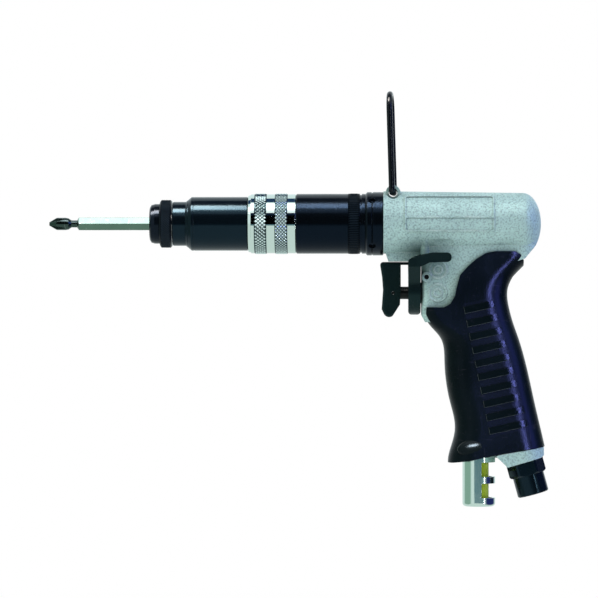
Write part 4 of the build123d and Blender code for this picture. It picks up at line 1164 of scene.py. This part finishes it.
@dataclass
class AirFittings(SubAssembly):
    """Air inlet and exhaust silencer in the grip's foot."""

    FINISHES = {
        "ground_steel": ("inlet_strainer",),
        "silencer_plating": ("exhaust_silencer",),
        "silencer_felt": ("silencer_felt",),
    }

    top: Rgb = (190.05 * MM, 0.0, -120.4 * MM)
    tilt: float = 15.4
    hexagon: float = 17.0 * MM
    hexagon_length: float = 7.2 * MM
    corner_radius: float = 9.5 * MM
    barrel_radius: float = 8.0 * MM
    length: float = 17.3 * MM
    spigot_radius: float = 7.0 * MM
    spigot: float = 8.0 * MM
    bore_radius: float = 6.5 * MM
    bore: float = 12.0 * MM
    passage_radius: float = 4.0 * MM
    thread_radius: float = 5.75 * MM
    thread_pitch: float = 1.337 * MM
    thread_turns: int = 8

    def model(self, palette: Palette) -> None:
        """Models the threaded inlet fitting.

        Args:
            palette: The finishes.
        """
        black = palette.get("case_black")
        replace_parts(self._fitting(black), "inlet_bushing")
        self._thread(black)

    @staticmethod
    def _bar(radius: float, high: float, low: float, sides: int = 96, turn: float = 0.0) -> Piece:
        """An upright bar about the fitting's own axis, between two heights.

        Args:
            radius: Its radius, out to the corners.
            high: Its upper end.
            low: Its lower end.
            sides: How many sides.
            turn: Its turn about its axis.

        Returns:
            The bar.
        """
        clear_selection()
        bpy.ops.mesh.primitive_cylinder_add(vertices=sides, radius=radius, depth=high - low,
                                            location=(0, 0, (high + low) / 2), rotation=(0, 0, turn))
        apply_place()
        return bpy.context.object

    @staticmethod
    def _chamfer(bar: Piece, height: float, width: float) -> None:
        """Bevels the bar's rim at a height.

        Args:
            bar: The bar.
            height: The rim's height.
            width: The bevel's width.
        """
        edit_mesh("DESELECT")
        mesh = bmesh.from_edit_mesh(bar.data)
        for vertex in mesh.verts:
            vertex.select = abs(vertex.co.z - height) < 0.01 * MM
        mesh.select_flush_mode()
        bmesh.update_edit_mesh(bar.data)
        bpy.ops.mesh.bevel(offset=width, segments=1, affect="EDGES")
        bpy.ops.object.mode_set(mode="OBJECT")

    @staticmethod
    def _combine(body: Piece, tool: Piece, operation: str) -> None:
        """Joins, cuts or limits the body with the tool, and drops the tool.

        Args:
            body: The piece that stays.
            tool: The other piece.
            operation: The boolean's name.
        """
        bpy.context.view_layer.objects.active = body
        modifier = body.modifiers.new(operation, "BOOLEAN")
        modifier.operation = operation
        modifier.solver = "EXACT"
        modifier.object = tool
        bpy.ops.object.modifier_apply(modifier=modifier.name)
        bpy.data.objects.remove(tool, do_unlink=True)

    def _tilt(self, piece: Piece) -> None:
        """Leans a piece from its own axis onto the inlet's, and makes it the active one.

        Args:
            piece: The piece.
        """
        piece.rotation_euler = (0, -math.radians(self.tilt), 0)
        piece.location = self.top
        clear_selection()
        piece.select_set(True)
        bpy.context.view_layer.objects.active = piece

    def _fitting(self, material: Material) -> Piece:
        """Models the fitting: hexagon with turned corners, barrel, spigot and bore.

        Args:
            material: Its finish.

        Returns:
            The finished piece.
        """
        hexagon = self._bar(self.hexagon / math.sqrt(3), 0.0, -self.hexagon_length, 6, math.pi / 6)
        limit = self._bar(self.corner_radius, MM, -self.hexagon_length)
        self._chamfer(limit, -self.hexagon_length, 0.8 * MM)
        self._combine(hexagon, limit, "INTERSECT")
        barrel = self._bar(self.barrel_radius, -self.hexagon_length / 2, -self.length)
        self._chamfer(barrel, -self.length, 0.5 * MM)
        self._combine(hexagon, barrel, "UNION")
        self._combine(hexagon, self._bar(self.spigot_radius, self.spigot, -MM), "UNION")
        self._combine(hexagon, self._bar(self.passage_radius, self.spigot + MM, -self.length), "DIFFERENCE")
        floor = self.bore - self.length
        pocket = self._bar(self.thread_radius - 0.6 * MM, floor + MM, floor - MM)
        self._combine(hexagon, pocket, "DIFFERENCE")
        self._combine(hexagon, self._bar(self.bore_radius, floor, -self.length - MM), "DIFFERENCE")
        self._tilt(hexagon)
        bpy.ops.object.shade_smooth_by_angle(angle=FITTING_SMOOTHING)
        return settle("air_inlet_fitting", "pistol", material)

    def _thread(self, material: Material) -> Piece:
        """Models the thread as one ridge that winds down inside the bore.

        Args:
            material: Its finish.

        Returns:
            The finished piece.
        """
        depth = self.bore_radius - self.thread_radius
        top = self.bore - self.length - 0.6 * self.thread_pitch
        sides = 3
        ridge = open_ring(sides, depth, (0, 0, 0), (math.pi / 2, -math.pi / 2, 0))
        edit_mesh("SELECT")
        wide = self.thread_pitch * 0.92 / (depth * math.sqrt(3))
        bpy.ops.transform.resize(value=(0.8, 1, wide))
        bpy.ops.transform.translate(value=(self.thread_radius + 0.85 * depth, 0, top))
        bpy.ops.object.mode_set(mode="OBJECT")
        wind(ridge, "Z", 2 * math.pi, -self.thread_pitch, 64, self.thread_turns - 1, sides)
        bpy.ops.object.mode_set(mode="OBJECT")
        self._tilt(ridge)
        bpy.ops.object.shade_smooth_by_angle(angle=FITTING_SMOOTHING)
        return settle("inlet_thread", "pistol", material)


@dataclass(frozen=True)
class Softbox:
    """A rectangular lamp that looks at the tool, and may spare some pieces or light some alone."""

    name: str
    direction: Rgb
    distance: float
    width: float
    height: float
    radiance: float
    colour: Rgb = WHITE
    gloss_only: bool = True
    spares: tuple[str, ...] = ()
    only: tuple[str, ...] = ()
    shift: float = 0.0

    def build(self, centre: Vector) -> None:
        """Places the lamp.

        Args:
            centre: The point that it looks at.
        """
        lamp = bpy.data.lights.new(self.name, "AREA")
        lamp.shape, lamp.size, lamp.size_y = "RECTANGLE", self.width, self.height
        lamp.energy = self.radiance * math.pi * self.width * self.height
        lamp.color = self.colour
        piece = bpy.data.objects.new(self.name, lamp)
        bpy.context.scene.collection.objects.link(piece)
        way = Vector(self.direction).normalized()
        piece.location = centre + way * self.distance + Vector((self.shift, 0.0, 0.0))
        piece.rotation_euler = way.to_track_quat("Z", "Y").to_euler()
        piece.visible_camera = False
        piece.visible_diffuse = not self.gloss_only
        if self.spares or self.only:
            self._steer(piece)

    def _steer(self, lamp: Piece) -> None:
        """Keeps the lamp's light off some pieces, or on them alone, as cutters round it would.

        Args:
            lamp: The lamp's object.
        """
        pieces = bpy.data.collections.new(self.name + "_pieces")
        for name in self.spares or self.only:
            pieces.objects.link(bpy.data.objects[name])
        lamp.light_linking.receiver_collection = pieces
        for entry in pieces.collection_objects:
            entry.light_linking.link_state = "EXCLUDE" if self.spares else "INCLUDE"


def towards(height: float) -> Rgb:
    """The direction at a height in degrees, on the camera's side."""
    turn = math.radians(height)
    return (0.0, -math.cos(turn), math.sin(turn))


@dataclass
class Studio:
    """Camera, lamps, flags, floor and background."""

    centre: Rgb = (75.7 * MM, 0.0, -38.2 * MM)
    frame_width: float = 303.8 * MM
    distance: float = 1.8
    azimuth: float = 1.3
    floor: float = -0.26
    floor_radius: float = 30.0
    flag_radius: float = 2.4
    flag_middle: float = 0.44
    flag_length: float = 3.72

    DULL: ClassVar[tuple[str, ...]] = (
        "housing", "grip_sleeve", "grip_swelling_near", "grip_swelling_far", "exhaust_silencer",
        "screwdriver_bit", "sleeve_knurl", "gear_case_knurl")
    CHROME: ClassVar[tuple[str, ...]] = ("cover_ring", "cover_knurl_front", "cover_knurl_rear")
    GLARING: ClassVar[float] = 20.0
    BARREL_LAMPS: ClassVar[tuple[tuple[str, float, float, float, Rgb], ...]] = (
        ("barrel_lamp_front", -0.70, 0.0, 46.0, (1.0, 0.83, 0.70)),
        ("barrel_lamp_middle", 0.0, 0.062, 6.0, (0.92, 0.96, 1.0)),
        ("barrel_lamp_gears", 0.078, 0.100, 40.0, (0.85, 0.92, 1.0)),
        ("barrel_lamp_rear", 0.112, 0.70, 2.0, (0.80, 0.90, 1.0)),
    )
    OTHER_LAMPS: ClassVar[tuple[Softbox, ...]] = (
        Softbox("bit_highlight", towards(65.0), 1.2, 1.4, 0.5, 5.6, (1.0, 0.73, 0.93),
                only=("screwdriver_bit",)),
        Softbox("rear_fill", (1.0, -0.30, 0.45), 1.3, 0.9, 0.6, 1.8, (0.16, 0.24, 1.0), False),
        Softbox("grip_edge_light", (1.0, -0.42, 0.05), 1.3, 0.60, 1.2, 7.0, (0.22, 0.22, 1.0),
                only=("grip_sleeve", "cover_knurl_rear")),
        Softbox("grip_bar_light", (0.52, -0.85, 0.05), 1.3, 0.16, 1.2, 110.0, (0.42, 0.44, 1.0),
                only=("grip_sleeve", "cover_knurl_rear")),
        Softbox("swelling_light", towards(16.0), 1.2, 0.62, 0.42, 130.0, (0.90, 0.96, 1.0),
                only=("grip_swelling_near", "grip_swelling_far"), shift=0.14),
        Softbox("fitting_line", (0.66, -0.75, 0.0), 1.3, 0.05, 0.9, 14.0,
                spares=("housing", "grip_sleeve")),
    )

    def build(self) -> None:
        """Sets the whole studio up."""
        self._camera()
        self._world()
        self._floor()
        self._flag("front_flag", -8.0, 53.0)
        self._flag("top_flag", 92.0, 116.0)
        self._lamps()
        bpy.context.scene.view_settings.view_transform = "Standard"
        LOG.info("studio ready")

    def _camera(self) -> None:
        """Places the camera as the photograph was taken."""
        turn = math.radians(self.azimuth)
        back = Vector((math.sin(turn), -math.cos(turn), 0.0))
        data = bpy.data.cameras.new("camera")
        data.lens = data.sensor_width * self.distance / self.frame_width
        camera = bpy.data.objects.new("camera", data)
        bpy.context.scene.collection.objects.link(camera)
        camera.location = Vector(self.centre) + back * self.distance
        camera.rotation_euler = (-back).to_track_quat("-Z", "Y").to_euler()
        bpy.context.scene.camera = camera

    @staticmethod
    def _world() -> None:
        """A white background, and a plain soft light from all round, cool from the tool's rear."""
        world = bpy.data.worlds.new("studio")
        bpy.context.scene.world = world
        world.use_nodes = True
        world.node_tree.nodes.clear()
        sheet = Sheet(world.node_tree)
        parts = sheet.split(sheet.add("ShaderNodeTexCoord").outputs["Generated"])
        rear = sheet.spread(parts["X"], 0.55, 0.85)
        front = sheet.spread(parts["X"], -0.82, -0.9)
        above = sheet.spread(parts["Z"], -0.1, 0.1)
        lamp = sheet.placed("ShaderNodeBackground",
                            sheet.blend(rear, (0.94, 1.0, 0.97), (0.12, 0.17, 0.74)),
                            sheet.spread(parts["Z"], -1.0, 1.0, 0.40, 0.88))[0]
        pale = sheet.blend(above, (0.74, 0.82, 0.80), (0.87, 0.97, 1.0))
        behind = sheet.blend(rear, pale, (0.02, 0.03, 0.14))
        mirrored = sheet.placed("ShaderNodeBackground", sheet.blend(front, behind, (0.30, 0.44, 0.37)))[0]
        white = sheet.placed("ShaderNodeBackground", WHITE)[0]
        path = sheet.add("ShaderNodeLightPath").outputs
        seen = sheet.plus(path["Is Camera Ray"], path["Is Transmission Ray"], True)
        light = sheet.mix(seen, sheet.mix(path["Is Glossy Ray"], lamp, mirrored), white)
        sheet.placed("ShaderNodeOutputWorld", light)

    def _floor(self) -> None:
        """A pale floor that keeps a soft shadow, fades to white further out and is clear from below."""
        clear_selection()
        bpy.ops.mesh.primitive_circle_add(vertices=96, radius=self.floor_radius, fill_type="NGON",
                                          location=(self.centre[0], 0, self.floor))
        floor = bpy.context.object
        floor.name = "floor"
        material, sheet = new_material("studio_floor")
        shader = material.node_tree.nodes["Principled BSDF"]
        sheet.fill(shader.inputs, Base_Color=(0.80, 0.84, 0.82), Roughness=0.9)
        path = sheet.add("ShaderNodeLightPath").outputs
        seen = sheet.plus(sheet.plus(path["Is Camera Ray"], path["Is Glossy Ray"], True),
                          path["Is Transmission Ray"], True)
        far = sheet.spread(sheet.vector("LENGTH", sheet.stretched())["Value"], 0.2, 0.9, 0.80)
        pale = sheet.mix(sheet.times(far, seen), shader.outputs[0],
                         sheet.add("ShaderNodeEmission").outputs[0])
        below = sheet.times(sheet.add("ShaderNodeNewGeometry").outputs["Backfacing"], path["Is Camera Ray"])
        surface = sheet.mix(below, pale, sheet.add("ShaderNodeBsdfTransparent").outputs[0])
        sheet.fill(material.node_tree.nodes["Material Output"].inputs, Surface=surface)
        floor.data.materials.append(material)
        floor.visible_glossy = False

    def _flag(self, name: str, low: float, high: float) -> None:
        """A dark screen that only mirrors show, between two heights in degrees round the barrel.

        Args:
            name: The screen's name.
            low: Its lower edge; 0 is level towards the camera and 90 straight up.
            high: Its upper edge.
        """
        clear_selection()
        bpy.ops.mesh.primitive_cylinder_add(vertices=360, radius=self.flag_radius, depth=self.flag_length,
                                            end_fill_type="NOTHING", location=(self.flag_middle, 0, 0),
                                            rotation=(0, math.pi / 2, 0))
        apply_place()
        flag = bpy.context.object
        flag.name = name
        edit_mesh("DESELECT")
        mesh = bmesh.from_edit_mesh(flag.data)
        for face in mesh.faces:
            middle = face.calc_center_median()
            turn = math.degrees(math.atan2(middle.z, -middle.y))
            face.select = not low < turn < high
        bmesh.update_edit_mesh(flag.data)
        bpy.ops.mesh.delete(type="FACE")
        bpy.ops.object.mode_set(mode="OBJECT")
        material, sheet = new_material(name)
        height = sheet.split(sheet.stretched())["Z"]
        rise = sheet.spread(height, self.flag_radius * 0.5, self.flag_radius * 0.8)
        foot = sheet.spread(height, -0.18, -0.12, 1.0, 0.0)
        dark = sheet.blend(foot, (0.0, 0.0, 0.0), (0.13, 0.23, 0.27))
        glow = sheet.placed("ShaderNodeEmission", sheet.blend(rise, dark, (0.02, 0.05, 0.12)))[0]
        sheet.fill(material.node_tree.nodes["Material Output"].inputs, Surface=glow)
        flag.data.materials.append(material)
        flag.visible_camera = False
        flag.visible_diffuse = False
        flag.visible_shadow = False
        clear_selection()

    def _lamps(self) -> None:
        """A wide overhead softbox, a row of lamps for the barrel's highlight, and the small lamps."""
        centre = Vector(self.centre)
        Softbox("overhead_softbox", towards(60.0), 1.3, 1.8, 0.80, 1.15, gloss_only=False).build(centre)
        for name, start, end, radiance, colour in self.BARREL_LAMPS:
            spared = self.DULL + self.CHROME if radiance > self.GLARING else self.DULL
            Softbox(name, towards(73.0), 1.2, end - start, 0.44, radiance, colour, spares=spared,
                    shift=(start + end) / 2 - centre.x).build(centre)
        for lamp in self.OTHER_LAMPS:
            lamp.build(centre)


def main() -> None:
    """Builds the looks in order, from the bit to the fittings."""
    logging.basicConfig(level=logging.INFO, format="%(message)s")
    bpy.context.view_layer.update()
    clear_selection()
    palette = Palette(Effects())
    BitDrive(KnurlBand("sleeve_knurl", "bit_sleeve", "black_finish", 5.7 * MM, 5.1 * MM, 11.97 * MM,
                       12.17 * MM, 1.2 * MM)).build(palette)
    TorqueClutch((
        KnurlBand("cover_knurl_front", "cover_ring", "chrome_ring", 53.2 * MM, 6.3 * MM, 15.01 * MM,
                  15.42 * MM, 1.8 * MM),
        KnurlBand("cover_knurl_rear", "cover_ring", "chrome_ring", 63.6 * MM, 6.5 * MM, 15.01 * MM,
                  15.42 * MM, 1.8 * MM),
    )).build(palette)
    GearTrain(KnurlBand("gear_case_knurl", "pistol", "black_finish", 100.6 * MM, 6.0 * MM, 15.21 * MM,
                        15.38 * MM, 1.2 * MM, KnurlPattern.STRAIGHT)).build(palette)
    VaneMotor().build(palette)
    PistolHandle().build(palette)
    Controls().build(palette)
    AirFittings().build(palette)
    for spring in SPRINGS:
        spring.build(palette.get("spring_wire"))
    Studio().build()


if __name__ == "__main__":
    main()
